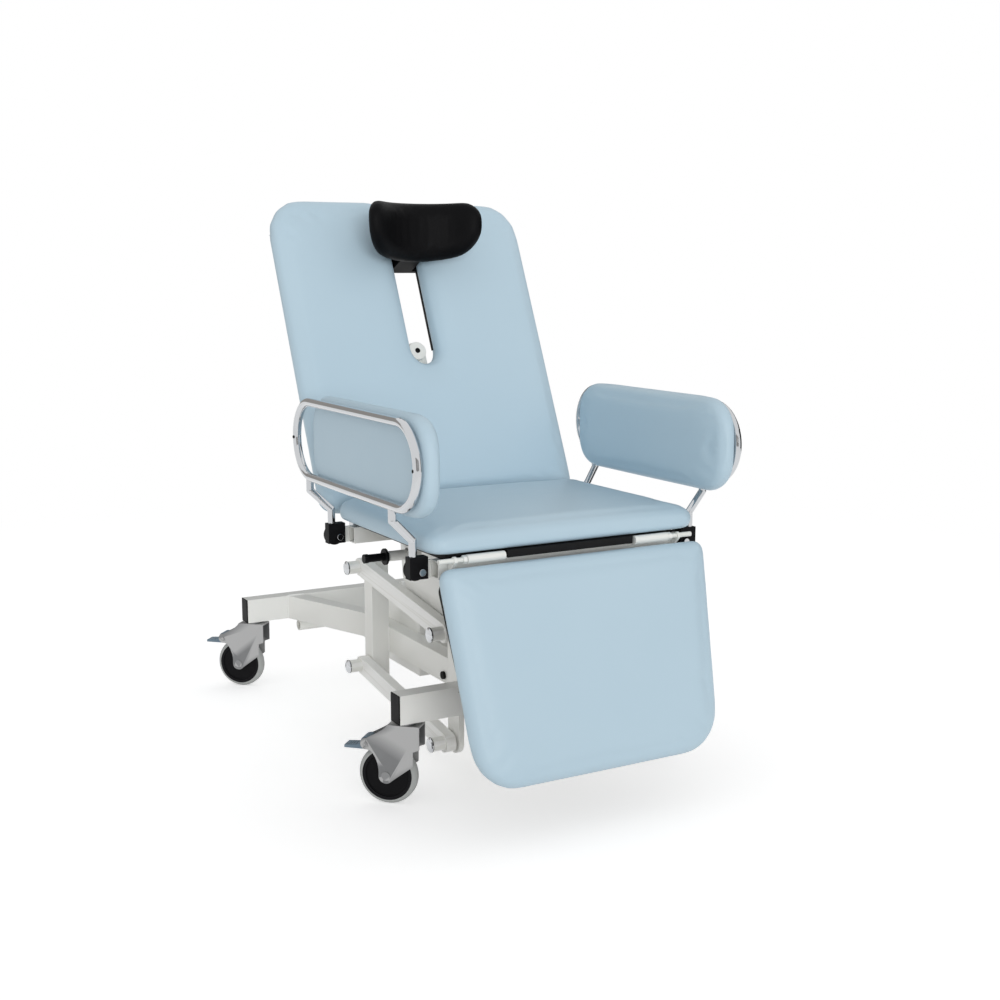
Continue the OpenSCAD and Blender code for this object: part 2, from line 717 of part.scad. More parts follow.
// Release lever: a flat arm on a pin, with a flange and a round grip
module release_lever() {
    grip_r = 0.24 * flange_d;
    at_base() color(black) {
        difference() {
            union() {
                box([-lever_x, -lever_y - cheek_gap + side_gap, lever_z - grip_r],
                    [-lever_pivot_x, -lever_y + cheek_gap - side_gap, lever_z + grip_r]);
                rod_y(-lever_y - cheek_gap + side_gap, -lever_y + cheek_gap - side_gap,
                      -lever_pivot_x, lever_z, grip_r);
            }
            rod_y(-lever_y - cheek_half, -lever_y + cheek_half, -lever_pivot_x, lever_z, ear_pin_r + fit);
        }
        rod_x(-lever_x - grip_len, -lever_x, -lever_y, lever_z, grip_r);
        rod_x(-lever_x - grip_len / 10, -lever_x, -lever_y, lever_z, flange_d / 2);
        rod_x(-lever_x - grip_len - over, -lever_x - 0.84 * grip_len, -lever_y, lever_z, 1.15 * grip_r);
    }
}

// Backrest
back_tube_low = -30;
back_tube_high = 620;
module back_tubes() {
    on_back() both() color(frame_white) difference() {
        tube_box([back_tube_x, -tube_n, back_tube_low],
                 [back_tube_x + frame_w, -tube_n + back_tube_t, back_tube_high], 2);
        rod_x(back_tube_x - over, back_tube_x + frame_w + over, -back_pivot_n, back_pivot_s, pin_r + fit);
    }
}
// Points of a rounded outline in (x, s), from s0 to s1, with corner radii r0 below and r1 above
function corner(x, s, r, start) = [for (i = [0:8]) let (a = start + 90 * i / 8)
    [x + r * cos(a), s + r * sin(a)]];
function rounded(h0, h1, s0, s1, r0, r1) = concat(
    corner(h0 - r0, s0 + r0, r0, 270), corner(h1 - r1, s1 - r1, r1, 0),
    corner(-h1 + r1, s1 - r1, r1, 90), corner(-h0 + r0, s0 + r0, r0, 180));
edge = 14;
guide_out = 14;
guide_half = slot_half + guide_out;
module back_board() {
    on_back() color(vinyl_blue) difference() {
        plate_y(back_t + soft_gap, -tube_n, rounded(back_half - edge, back_half - edge, edge, back_len - edge,
            back_foot_corner - edge / 2, back_corner - edge));
        box([-guide_half, 0, slot_low + guide_half], [guide_half, back_t + 2 * board_back, back_len]);
        rod_y(0, back_t + 2 * board_back, 0, slot_low + guide_half, guide_half);
    }
}
liner_t = 3;
module slot_liners() {
    on_back() both() color(black) box([guide_half - liner_t, back_t + soft_gap, slot_low + guide_half],
        [guide_half - soft_gap, -tube_n, back_len - edge]);
}
stop_r = 25;
stop_t = 6;
stop_low = 30;
stop_high = 42;
stop_boss_r = 22;
module slot_stop() {
    on_back() color(frame_white) difference() {
        union() {
            box([-stop_r, -tube_n, slot_low - stop_low], [stop_r, -tube_n + stop_t, slot_low + stop_high]);
            rod_y(-tube_n, -tube_n + stop_t, 0, slot_low + stop_high, stop_r);
            rod_y(back_t + soft_gap, -tube_n + over, 0, slot_low + stop_high, stop_boss_r);
        }
        rod_y(back_t, -tube_n + stop_t + over, 0, slot_low + stop_high, bolt_r);
    }
}

// Cushions: each is a grid of rows up the cushion and columns across it
// d is the distance in from the outline, x runs across and s up; n is the height above the back
function rise(d, r) = let(k = max(0, min(1, d / r))) sqrt(1 - (1 - k) * (1 - k));
function inset(x, s, half, length, r0, r1) = let(
        r = s < length / 2 ? r0 : r1,
        qx = abs(x) - half + r,
        qs = abs(s - length / 2) - length / 2 + r)
    max(0, r - norm([max(qx, 0), max(qs, 0)]) - min(max(qx, qs), 0));
function drawn_in(s, length, r0, r1) = let(r = s < length / 2 ? r0 : r1, d = min(s, length - s))
    d >= r ? 0 : r - sqrt(r * r - (r - d) * (r - d));
function spaced(count) = [for (i = [0:count]) (1 - cos(180 * i / count)) / 2];
seam_share = 0.42;
band_share = 0.02;
top_round_share = 0.62;
low_round_share = 0.4;
function top_n(d, t, crown, u, v) =
    t * (seam_share + band_share + (1 - seam_share - band_share) * rise(d, t * top_round_share))
    + crown * (1 - u * u) * (1 - v * v) * rise(d, t);
function low_n(d, t) = t * (seam_share - band_share) * (1 - rise(d, t * low_round_share));
// Faces between a front grid and a back grid of points; the last column is closed from row first on
function shell_faces(rows, cols, first) = let(w = cols + 1, k = (rows + 1) * w) concat(
    [for (i = [0:rows - 1], j = [0:cols - 1]) let(a = i * w + j)
        each [[a, a + w, a + w + 1], [a, a + w + 1, a + 1]]],
    [for (i = [0:rows - 1], j = [0:cols - 1]) let(a = k + i * w + j)
        each [[a, a + w + 1, a + w], [a, a + 1, a + w + 1]]],
    [for (i = [0:rows - 1]) let(a = i * w) each [[k + a, k + a + w, a + w], [k + a, a + w, a]]],
    [for (i = [first:rows - 1]) let(a = i * w + cols) each [[a, a + w, k + a + w], [a, k + a + w, k + a]]],
    [for (j = [0:cols - 1]) each [[j, j + 1, k + j + 1], [j, k + j + 1, k + j]]],
    [for (j = [0:cols - 1]) let(a = rows * w + j) each [[a + 1, a, k + a], [a + 1, k + a, k + a + 1]]]);
module shell(front, back) {
    polyhedron(concat([for (row = front) each row], [for (row = back) each row]),
               shell_faces(len(front) - 1, len(front[0]) - 1, 0));
}
// Two mirrored halves that share their last column up to row first and part above it
module forked_shell(front, back, first) {
    w = len(front[0]);
    k = len(front) * w;
    half = concat([for (row = front) each row], [for (row = back) each row]);
    faces = shell_faces(len(front) - 1, w - 1, first);
    function other(v) = (v % w == w - 1 && floor((v % k) / w) <= first) ? v : v + 2 * k;
    polyhedron(concat(half, [for (p = half) [-p[0], p[1], p[2]]]),
               concat(faces, [for (f = faces) [other(f[2]), other(f[1]), other(f[0])]]));
}
// A cushion with h0 and h1 as its half widths at s = 0 and at its far end
module cushion(h0, h1, length, t, crown, r0, r1, rows, cols) {
    grid = [for (a = spaced(rows)) let(s = a * length, half = h0 + (h1 - h0) * a,
            reach = half - drawn_in(s, length, r0, r1))
        [for (b = spaced(cols)) let(x = reach * (2 * b - 1))
            [x, s, inset(x, s, half, length, r0, r1), x / half, 2 * a - 1]]];
    shell([for (row = grid) [for (p = row) [p[0], -top_n(p[2], t, crown, p[3], p[4]), p[1]]]],
          [for (row = grid) [for (p = row) [p[0], -low_n(p[2], t), p[1]]]]);
}
seat_corner = 42;
module seat_pad() {
    at_base() color(vinyl_blue) translate([0, -seat_front, seat_z]) rotate([-90, 0, 0])
        cushion(seat_half, seat_half, seat_front - seat_rear, seat_t, seat_crown,
                seat_corner, seat_corner, 16, 18);
}
leg_foot_corner = 85;
leg_knee_corner = 24;
module leg_pad() {
    on_leg() color(vinyl_blue) translate([0, leg_back, -leg_drop - leg_len])
        cushion(leg_foot_half, leg_half, leg_len, leg_t, leg_crown, leg_foot_corner, leg_knee_corner, 16, 18);
}
module arm_pad() {
    outer = loop_x - loop_d / 2 - soft_gap;
    at_base() color(vinyl_blue) translate([outer, -(arm_pad_front + arm_pad_rear) / 2, arm_pad_low])
        rotate([0, 0, -90]) cushion((arm_pad_front - arm_pad_rear) / 2, (arm_pad_front - arm_pad_rear) / 2,
            arm_pad_high - arm_pad_low, arm_pad_t, 0, arm_pad_corner, arm_pad_corner, 12, 18);
}
module arm_pad_right() { arm_pad(); }
module arm_pad_left() { mirror([1, 0, 0]) arm_pad(); }

// The back cushion is two mirrored halves that part above the foot of the slot
slot_flare = 44;
slot_mid = slot_low + slot_half;
function slot_edge(s) = s <= slot_low ? 0
    : s < slot_mid ? sqrt(slot_half * slot_half - (slot_mid - s) * (slot_mid - s))
    : slot_half + drawn_in(max(s, back_len / 2), back_len, slot_flare, slot_flare);
function slot_inset(x, s) = s < slot_mid ? norm([x, s - slot_mid]) - slot_half : abs(x) - slot_edge(s);
module back_pad() {
    low_rows = 10;
    rows = concat([for (a = spaced(low_rows)) a * slot_low],
                  [for (a = spaced(12)) if (a > 0) slot_low + a * (back_len - slot_low)]);
    grid = [for (s = rows) let(
            reach = back_half - drawn_in(s, back_len, back_foot_corner, back_corner), inner = slot_edge(s))
        [for (b = spaced(11)) let(x = -reach + b * (reach - inner),
                d = min(inset(x, s, back_half, back_len, back_foot_corner, back_corner), slot_inset(x, s)))
            [x, s, max(0, d), x / back_half, 2 * s / back_len - 1]]];
    on_back() color(vinyl_blue) translate([0, back_t, 0]) forked_shell(
        [for (row = grid) [for (p = row) [p[0], -top_n(p[2], back_t, back_crown, p[3], p[4]), p[1]]]],
        [for (row = grid) [for (p = row) [p[0], -low_n(p[2], back_t), p[1]]]], low_rows);
}

// Head support: a slider in the slot, a tilting bracket and a cushion that wraps the head
slider_below = 60;
slider_above = 12;
slider_low = head_s - slider_below;
slider_high = head_s + slider_above;
slider_half = slot_half - liner_t - side_gap;
foot_half = guide_half - liner_t - side_gap;
slider_out = 10;
knuckle_half = 14;
knuckle_n = 26;
knuckle_r = 9;
module head_slider() {
    on_back() color(black) difference() {
        union() {
            box([-slider_half, -slider_out, slider_low], [slider_half, -tube_n - side_gap, slider_high]);
            box([-foot_half, back_t + 2 * soft_gap, slider_low], [foot_half, -tube_n - side_gap, slider_high]);
            box([-knuckle_half, -knuckle_n, head_s - knuckle_r], [knuckle_half, 0, head_s + knuckle_r]);
            rod_x(-knuckle_half, knuckle_half, -knuckle_n, head_s, knuckle_r);
        }
        rod_x(-knuckle_half - over, knuckle_half + over, -knuckle_n, head_s, bolt_r + fit);
    }
}
ear_t = 5;
plate_half = 40;
module at_head() {
    on_back() translate([0, -knuckle_n, head_s]) rotate([head_tilt_angle, 0, 0])
        translate([0, knuckle_n, -head_s]) children();
}
module head_bracket() {
    at_head() color(black) {
        both() translate([knuckle_half + side_gap, 0, 0]) {
            rod_x(0, ear_t, -knuckle_n, head_s, knuckle_r);
            box([0, -head_out + soft_gap, head_s - knuckle_r], [ear_t, -knuckle_n, head_s + knuckle_r]);
        }
        box([-plate_half, -head_out + soft_gap, head_s - plate_half],
            [plate_half, -knuckle_n - knuckle_r - side_gap, head_s + plate_half]);
        rod_x(-knuckle_half - side_gap - ear_t, knuckle_half + side_gap + ear_t, -knuckle_n, head_s, bolt_r);
    }
}
head_corner_low = 68;
head_corner_high = 50;
head_lift = 24;
module head_pad() {
    centre = head_out + head_r + head_t;
    turn = 180 / (PI * (head_r + head_t / 2));
    half = head_w / 2;
    grid = [for (a = spaced(10)) let(s = a * head_h,
            reach = half - drawn_in(s, head_h, head_corner_low, head_corner_high))
        [for (b = spaced(18)) let(x = reach * (2 * b - 1))
            [x * turn, s + head_lift * (1 - a) * pow(x / half, 2),
             inset(x, s, half, head_h, head_corner_low, head_corner_high)]]];
    at_head() color(black) translate([0, 0, head_s - head_h / 2]) shell(
        [for (row = grid) [for (p = row) let(r = head_r + head_t - top_n(p[2], head_t, 0, 0, 0))
            [r * sin(p[0]), -centre + r * cos(p[0]), p[1]]]],
        [for (row = grid) [for (p = row) let(r = head_r + head_t - low_n(p[2], head_t))
            [r * sin(p[0]), -centre + r * cos(p[0]), p[1]]]]);
}

// Leg section: straps welded to the knee pins carry the board
strap_x = 255;
strap_t = 6;
strap_r = 7.5;
strap_len = 110;
knee_end = 292;
nut_in = 233;
nut_t = 8;
leg_board_t = 12;
leg_board_top = 34;
module leg_straps() {
    face = leg_back + soft_gap + leg_board_t;
    on_leg() both() {
        color(frame_white) {
            plate_x(strap_x, strap_x + strap_t, [[-strap_r, 0], [-strap_r, -knee_r], [face, -2.4 * strap_r],
                [face, -strap_len], [face + strap_r, -strap_len], [face + strap_r, -strap_r], [0, strap_r]]);
            rod_x(strap_x, strap_x + strap_t, 0, 0, strap_r);
        }
        color(black) {
            rod_x(sleeve_in, knee_end, 0, 0, knee_r);
            translate([nut_in, 0, 0]) rotate([0, 90, 0]) cylinder(r = 1.7 * knee_r, h = nut_t, $fn = 6);
        }
    }
}
module leg_board() {
    on_leg() color(black) plate_y(leg_back + soft_gap, leg_back + soft_gap + leg_board_t,
        rounded(leg_foot_half - edge, leg_half - edge, -leg_drop - leg_len + edge, -leg_board_top,
            leg_foot_corner - edge, leg_knee_corner));
}

// Armrests: a chrome tube loop on two bent legs, which stand in the black pivot blocks
leg_tube_r = 8;
leg_tube_drop = 28;
leg_tube_in = 14;
leg_tube_bend = 60;
leg_tube_foot = 4;
leg_tube_sets = [6, 20];
leg_tube_ys = [-swing_front + leg_tube_sets[0], -swing_rear + leg_tube_sets[1]];
block_off_x = 6;
block_off_z = 8;
module arm_loop() {
    r = loop_d / 2;
    bend = (loop_high - loop_low) / 2;
    middle = (loop_high + loop_low) / 2;
    front = -loop_front + bend;
    rear = -loop_rear - bend;
    at_base() color(chrome) {
        for (z = [loop_low, loop_high]) rod_y(front, rear, loop_x, z, r);
        translate([loop_x, rear, middle]) rotate([0, 90, 0])
            rotate_extrude(angle = 180) translate([bend, 0]) circle(r = r);
        translate([loop_x, front, middle]) mirror([0, 1, 0]) rotate([0, 90, 0])
            rotate_extrude(angle = 180) translate([bend, 0]) circle(r = r);
        for (i = [0, 1]) {
            top = [loop_x, leg_tube_ys[i], loop_low];
            knee = top - [0, 0, leg_tube_drop];
            hip = [swing_x + leg_tube_in, swing_ys[i], swing_z + leg_tube_bend];
            foot = [swing_x + leg_tube_in, swing_ys[i], swing_z - leg_tube_foot];
            tube_run(top, knee, leg_tube_r);
            tube_run(knee, hip, leg_tube_r);
            translate(foot) cylinder(r = leg_tube_r, h = hip[2] - foot[2]);
        }
    }
}
module arm_loop_right() { arm_loop(); }
module arm_loop_left() { mirror([1, 0, 0]) arm_loop(); }
module arm_blocks() {
    at_base() color(black) for (y = swing_ys) difference() {
        translate([swing_x + block_off_x - block_w / 2, y - block_len / 2,
                   swing_z + block_off_z - block_h / 2]) cube([block_w, block_len, block_h]);
        rod_y(y - block_len, y + block_len, swing_x, swing_z, bolt_r + fit);
        translate([swing_x + leg_tube_in, y, swing_z - leg_tube_foot])
            cylinder(r = leg_tube_r + fit, h = block_h);
    }
}
module arm_blocks_right() { arm_blocks(); }
module arm_blocks_left() { mirror([1, 0, 0]) arm_blocks(); }

base_front_beam();
base_rear_beam();
base_rails();
base_end_caps();
base_under_tube();
base_posts();
castor_sockets();
rail_buffers();
lift_housing();
base_pivot_pins();
base_pivot_rings();
castor_fl_fork();
castor_fl_wheel();
castor_fl_tyre();
castor_fl_pedal();
castor_fr_fork();
castor_fr_wheel();
castor_fr_tyre();
castor_fr_pedal();
castor_rl_fork();
castor_rl_wheel();
castor_rl_tyre();
castor_rl_pedal();
castor_rr_fork();
castor_rr_wheel();
castor_rr_tyre();
castor_rr_pedal();
upper_arms();
lower_arms();
link_plates();
link_tubes();
link_pins();
link_rings();
seat_frame();
seat_board();
seat_pad();
knee_sleeves();
back_pins();
arm_lugs();
arm_bolts();
arm_washers();
release_lever();
back_tubes();
back_board();
back_pad();
slot_liners();
slot_stop();
head_slider();
head_bracket();
head_pad();
leg_straps();
leg_board();
leg_pad();
arm_loop_left();
arm_loop_right();
arm_pad_left();
arm_pad_right();
arm_blocks_left();
arm_blocks_right();
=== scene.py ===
# %% [markdown]
# # Ear, nose and throat examination chair
# A clinic chair on a parallelogram lift and four braked castors. The steelwork and the moving parts come ready from
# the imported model, which is loaded as a fixed frame. This lesson dresses it: painted steel, chrome, cast and moulded
# plastic, and six padded pieces that are sewn in blue or black vinyl and blown up with a cloth simulation.
# Lengths are in metres, +Z is up, and the chair faces -Y.

# %% Load the frame
import math
import bpy
import bmesh
import numpy as np
from mathutils import Matrix, Vector


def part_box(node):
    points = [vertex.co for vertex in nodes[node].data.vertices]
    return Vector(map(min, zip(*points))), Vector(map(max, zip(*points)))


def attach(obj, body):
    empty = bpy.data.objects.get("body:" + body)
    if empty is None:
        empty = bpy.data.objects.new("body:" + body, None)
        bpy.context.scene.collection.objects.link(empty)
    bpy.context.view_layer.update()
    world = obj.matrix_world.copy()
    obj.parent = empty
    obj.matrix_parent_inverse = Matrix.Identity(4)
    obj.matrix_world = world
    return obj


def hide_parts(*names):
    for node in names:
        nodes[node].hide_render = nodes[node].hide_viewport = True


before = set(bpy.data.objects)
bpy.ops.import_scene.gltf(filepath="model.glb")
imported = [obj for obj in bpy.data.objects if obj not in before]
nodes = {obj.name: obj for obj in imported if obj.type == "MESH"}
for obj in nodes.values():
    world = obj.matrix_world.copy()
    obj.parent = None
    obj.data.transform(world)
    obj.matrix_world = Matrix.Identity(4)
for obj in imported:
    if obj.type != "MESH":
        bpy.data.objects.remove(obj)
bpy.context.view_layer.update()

# %% [markdown]
# ## Camera
# The photograph was taken from the chair's right front, from a little above the armrests. The camera stands at the
# place that was worked out from the beams, the armrests and the castors, so that each piece falls where it does in the
# picture.

# %% Camera
CAMERA_AT = (-1.4075, -2.7659, 1.0790)
LOOKS_DOWN, LOOKS_RIGHT = math.radians(9.51), math.radians(29.21)
LENS, SENSOR = 49.13, 36

view = bpy.data.cameras.new("view")
view.sensor_width = SENSOR
view.lens = LENS
camera = bpy.data.objects.new("camera", view)
camera.location = CAMERA_AT
camera.rotation_euler = (math.radians(90) - LOOKS_DOWN, 0, -LOOKS_RIGHT)
bpy.context.scene.collection.objects.link(camera)
bpy.context.scene.camera = camera
bpy.context.scene.view_settings.view_transform = "Standard"
print("camera at", tuple(camera.location), "lens", view.lens)

# %% [markdown]
# ## Studio
# A plain white studio: the world lights everything evenly, and one soft far lamp from the front makes the faces that
# look forward a little brighter than the tops and the sides. To the camera, and in reflections, the world is
# white. The floor is white too, and keeps the soft shadow under the chair. A few dark and grey cards, which only
# reflections see, give the chrome its streaks.

# %% Studio
def link(tree, a, b):
    tree.links.new(a, b)


def seen_directly(tree):
    """1 for camera, glossy and transmission rays, and 0 for the rays that light things."""
    path = tree.nodes.new("ShaderNodeLightPath")
    total = path.outputs["Is Camera Ray"]
    for name in ("Is Glossy Ray", "Is Transmission Ray"):
        add = tree.nodes.new("ShaderNodeMath")
        add.operation = "MAXIMUM"
        link(tree, total, add.inputs[0])
        link(tree, path.outputs[name], add.inputs[1])
        total = add.outputs[0]
    return total


AMBIENT = 0.66
LAMP_STRENGTH, LAMP_SPREAD = 1.35, math.radians(28)
LAMP_AT, LAMP_AIM = (-1.0, -4.2, 0.9), (0, 0, 0.6)
FLOOR_REACH, FLOOR_PAINT, FLOOR_GLOW = 40, 0.88, 0.46
FADE_FROM, FADE_TO = 1.1, 3.4

world = bpy.data.worlds.new("studio")
bpy.context.scene.world = world
world.use_nodes = True
w = world.node_tree
w.nodes.clear()
soft, white = w.nodes.new("ShaderNodeBackground"), w.nodes.new("ShaderNodeBackground")
soft.inputs["Strength"].default_value = AMBIENT
white.inputs["Strength"].default_value = 1.0
for ground in (soft, white):
    ground.inputs["Color"].default_value = (1, 1, 1, 1)
mix, out = w.nodes.new("ShaderNodeMixShader"), w.nodes.new("ShaderNodeOutputWorld")
link(w, seen_directly(w), mix.inputs[0])
link(w, soft.outputs[0], mix.inputs[1])
link(w, white.outputs[0], mix.inputs[2])
link(w, mix.outputs[0], out.inputs["Surface"])

lamp_data = bpy.data.lights.new("front_lamp", "SUN")
lamp_data.angle = LAMP_SPREAD
lamp_data.energy = LAMP_STRENGTH
lamp = bpy.data.objects.new("front_lamp", lamp_data)
lamp.location = LAMP_AT
lamp.rotation_euler = (Vector(LAMP_AIM) - lamp.location).to_track_quat("-Z", "Y").to_euler()
bpy.context.scene.collection.objects.link(lamp)

# %% Floor
floor_mesh = bpy.data.meshes.new("floor")
corners = [(x * FLOOR_REACH, y * FLOOR_REACH, 0) for x, y in ((-1, -1), (1, -1), (1, 1), (-1, 1))]
floor_mesh.from_pydata(corners, [], [(0, 1, 2, 3)])
floor = bpy.data.objects.new("floor", floor_mesh)
bpy.context.scene.collection.objects.link(floor)
floor_paint = bpy.data.materials.new("studio_floor")
floor_paint.use_nodes = True
f = floor_paint.node_tree
f.nodes.clear()
matt, glow = f.nodes.new("ShaderNodeBsdfDiffuse"), f.nodes.new("ShaderNodeEmission")
matt.inputs["Color"].default_value = (FLOOR_PAINT, FLOOR_PAINT, FLOOR_PAINT, 1)
link(f, seen_directly(f), glow.inputs["Strength"])
glow.inputs["Color"].default_value = (FLOOR_GLOW, FLOOR_GLOW, FLOOR_GLOW, 1)
both, out = f.nodes.new("ShaderNodeAddShader"), f.nodes.new("ShaderNodeOutputMaterial")
link(f, matt.outputs[0], both.inputs[0])
link(f, glow.outputs[0], both.inputs[1])
far, white_far, place = (f.nodes.new("ShaderNode" + n) for n in ("MixShader", "Emission", "NewGeometry"))
length, fade, away = (f.nodes.new("ShaderNode" + n) for n in ("VectorMath", "MapRange", "Math"))
length.operation, away.operation, fade.interpolation_type = "LENGTH", "MULTIPLY", "SMOOTHSTEP"
fade.inputs["From Min"].default_value, fade.inputs["From Max"].default_value = FADE_FROM, FADE_TO
link(f, place.outputs["Position"], length.inputs[0])
link(f, length.outputs["Value"], fade.inputs["Value"])
link(f, fade.outputs[0], away.inputs[0])
link(f, seen_directly(f), away.inputs[1])
link(f, away.outputs[0], far.inputs[0])
link(f, both.outputs[0], far.inputs[1])
link(f, white_far.outputs[0], far.inputs[2])
link(f, far.outputs[0], out.inputs["Surface"])
floor_mesh.materials.append(floor_paint)
print("floor", 2 * FLOOR_REACH, "m wide, white from", FADE_TO, "m on")


# %% Cards for the chrome
def flag(name, low, high, shade):
    """An upright card that only polished metal sees, and that gives its mirror image an edge."""
    mesh = bpy.data.meshes.new(name)
    mesh.from_pydata([(low[0], low[1], low[2]), (high[0], high[1], low[2]), (high[0], high[1], high[2]),
                      (low[0], low[1], high[2])], [], [(0, 1, 2, 3)])
    card = bpy.data.objects.new(name, mesh)
    bpy.context.scene.collection.objects.link(card)
    for ray in ("camera", "diffuse", "shadow", "transmission", "volume_scatter"):
        setattr(card, f"visible_{ray}", False)
    paint = bpy.data.materials.new(name)
    paint.use_nodes = True
    paint.node_tree.nodes.clear()
    shine, out = (paint.node_tree.nodes.new("ShaderNode" + n) for n in ("Emission", "OutputMaterial"))
    shine.inputs["Color"].default_value = (*shade, 1)
    link(paint.node_tree, shine.outputs[0], out.inputs["Surface"])
    mesh.materials.append(paint)


flag("dark_card_behind", (0.5, 3.4, 0.05), (3.6, 3.4, 2.4), (0.02, 0.02, 0.02))
flag("dark_card_right", (3.6, 3.4, 0.05), (3.6, -3.0, 2.4), (0.03, 0.03, 0.03))
flag("grey_card_behind", (-3.6, 3.4, 0.9), (0.5, 3.4, 3.0), (0.38, 0.36, 0.34))
flag("grey_card_front", (-4.2, -3.2, 0.2), (0.6, -5.4, 2.2), (0.34, 0.33, 0.32))
print("ambient", AMBIENT, "front lamp", LAMP_STRENGTH)

# %% [markdown]
# ## Paint box
# Every finish is made from a few noise patterns that sit in the object's own space, so that they stay on the piece
# from any side. One helper builds the common part: a colour that drifts a little between two tones, a roughness that
# is never quite even, and a fine bump for the grain of the surface.

# %% A helper for finishes
def finish_of(name, tones, roughness, drift=4.0, grain=900.0, height=0.00004, metallic=0.0, coat=0.0, cells=False,
              specular=0.5, worn=None):
    """A material: two tones, an uneven roughness (low, high) and a fine grain of that many bumps to the metre."""
    paint = bpy.data.materials.new(name)
    paint.use_nodes = True
    t = paint.node_tree
    t.nodes.clear()
    place, out = t.nodes.new("ShaderNodeTexCoord"), t.nodes.new("ShaderNodeOutputMaterial")
    shader = t.nodes.new("ShaderNodeBsdfPrincipled")
    slow, fine = t.nodes.new("ShaderNodeTexNoise"), t.nodes.new("ShaderNodeTexNoise")
    slow.inputs["Scale"].default_value, slow.inputs["Detail"].default_value = drift, 3
    fine.inputs["Scale"].default_value, fine.inputs["Detail"].default_value = grain, 2
    colour = t.nodes.new("ShaderNodeMix")
    colour.data_type = "RGBA"
    colour.inputs[6].default_value, colour.inputs[7].default_value = (*tones[0], 1), (*tones[1], 1)
    rough = t.nodes.new("ShaderNodeMapRange")
    rough.inputs["To Min"].default_value, rough.inputs["To Max"].default_value = roughness
    bump = t.nodes.new("ShaderNodeBump")
    bump.inputs["Strength"].default_value, bump.inputs["Distance"].default_value = 1.0, height
    for pattern in (slow, fine):
        link(t, place.outputs["Object"], pattern.inputs["Vector"])
    link(t, slow.outputs["Fac"], colour.inputs[0])
    surface = colour.outputs[2]
    if worn:
        edge, ramp, rub = (t.nodes.new("ShaderNode" + n) for n in ("NewGeometry", "ValToRGB", "Mix"))
        ramp.color_ramp.elements[0].position, ramp.color_ramp.elements[1].position = 0.53, 0.60
        rub.data_type = "RGBA"
        rub.inputs[7].default_value = (*worn, 1)
        link(t, edge.outputs["Pointiness"], ramp.inputs[0])
        link(t, ramp.outputs[0], rub.inputs[0])
        link(t, surface, rub.inputs[6])
        surface = rub.outputs[2]
    link(t, surface, shader.inputs["Base Color"])
    mid = t.nodes.new("ShaderNodeTexNoise")
    mid.inputs["Scale"].default_value, mid.inputs["Detail"].default_value = drift * 9, 4
    link(t, place.outputs["Object"], mid.inputs["Vector"])
    link(t, mid.outputs["Fac"], rough.inputs["Value"])
    link(t, rough.outputs[0], shader.inputs["Roughness"])
    if cells:
        pores = t.nodes.new("ShaderNodeTexVoronoi")
        pores.feature = "DISTANCE_TO_EDGE"
        pores.inputs["Scale"].default_value = grain * 0.6
        bend, add = t.nodes.new("ShaderNodeMapRange"), t.nodes.new("ShaderNodeMath")
        bend.inputs["From Max"].default_value = 0.25
        add.operation = "ADD"
        link(t, place.outputs["Object"], pores.inputs["Vector"])
        link(t, pores.outputs["Distance"], bend.inputs["Value"])
        link(t, bend.outputs[0], add.inputs[0])
        link(t, fine.outputs["Fac"], add.inputs[1])
        link(t, add.outputs[0], bump.inputs["Height"])
    else:
        link(t, fine.outputs["Fac"], bump.inputs["Height"])
    link(t, bump.outputs[0], shader.inputs["Normal"])
    shader.inputs["Metallic"].default_value = metallic
    shader.inputs["Coat Weight"].default_value = coat
    shader.inputs["Specular IOR Level"].default_value = specular
    link(t, shader.outputs[0], out.inputs["Surface"])
    return paint


def tone(r, g, b):
    """A colour as the eye reads it, 0 to 255, turned into the light values that a shader wants."""
    return tuple(((c / 255 + 0.055) / 1.055) ** 2.4 if c > 10 else c / 255 / 12.92 for c in (r, g, b))

# %% [markdown]
# ## The finishes
# Twelve finishes cover the chair. Powder-coated steel has a faint orange peel; chrome is a mirror that is hardly ever
# perfectly smooth; the vinyl has a leather grain of about a millimetre, a soft gloss, and a tone that drifts slowly.
# The tones of black and white are set so that they come out under this light as the photograph shows them.

# %% Blue and black vinyl
blue_vinyl = finish_of("blue_vinyl", (tone(183, 207, 221), tone(190, 213, 226)), (0.40, 0.52), drift=3.0, grain=1500,
                       height=0.00006, cells=True, coat=0.06)
black_vinyl = finish_of("black_vinyl", (tone(11, 11, 12), tone(16, 16, 18)), (0.34, 0.48), drift=6, grain=1500,
                        height=0.00007, cells=True, specular=0.06)
# %% Painted and plated steel
white_frame = finish_of("white_frame", (tone(235, 235, 229), tone(241, 241, 236)), (0.26, 0.36), drift=5, grain=420,
                        height=0.00005, coat=0.25, worn=tone(248, 248, 245))
black_steel = finish_of("black_steel", (tone(13, 13, 14), tone(20, 20, 21)), (0.36, 0.5), grain=700, height=0.00004,
                        specular=0.08, worn=tone(42, 42, 44))
chrome_steel = finish_of("chrome_steel", (tone(196, 198, 201), tone(206, 208, 210)), (0.05, 0.11), grain=260,
                         height=0.000006, metallic=1.0)
castor_steel = finish_of("castor_steel", (tone(116, 117, 118), tone(132, 133, 134)), (0.30, 0.44), drift=14,
                         grain=650, height=0.00004, metallic=0.55, worn=tone(176, 176, 176))
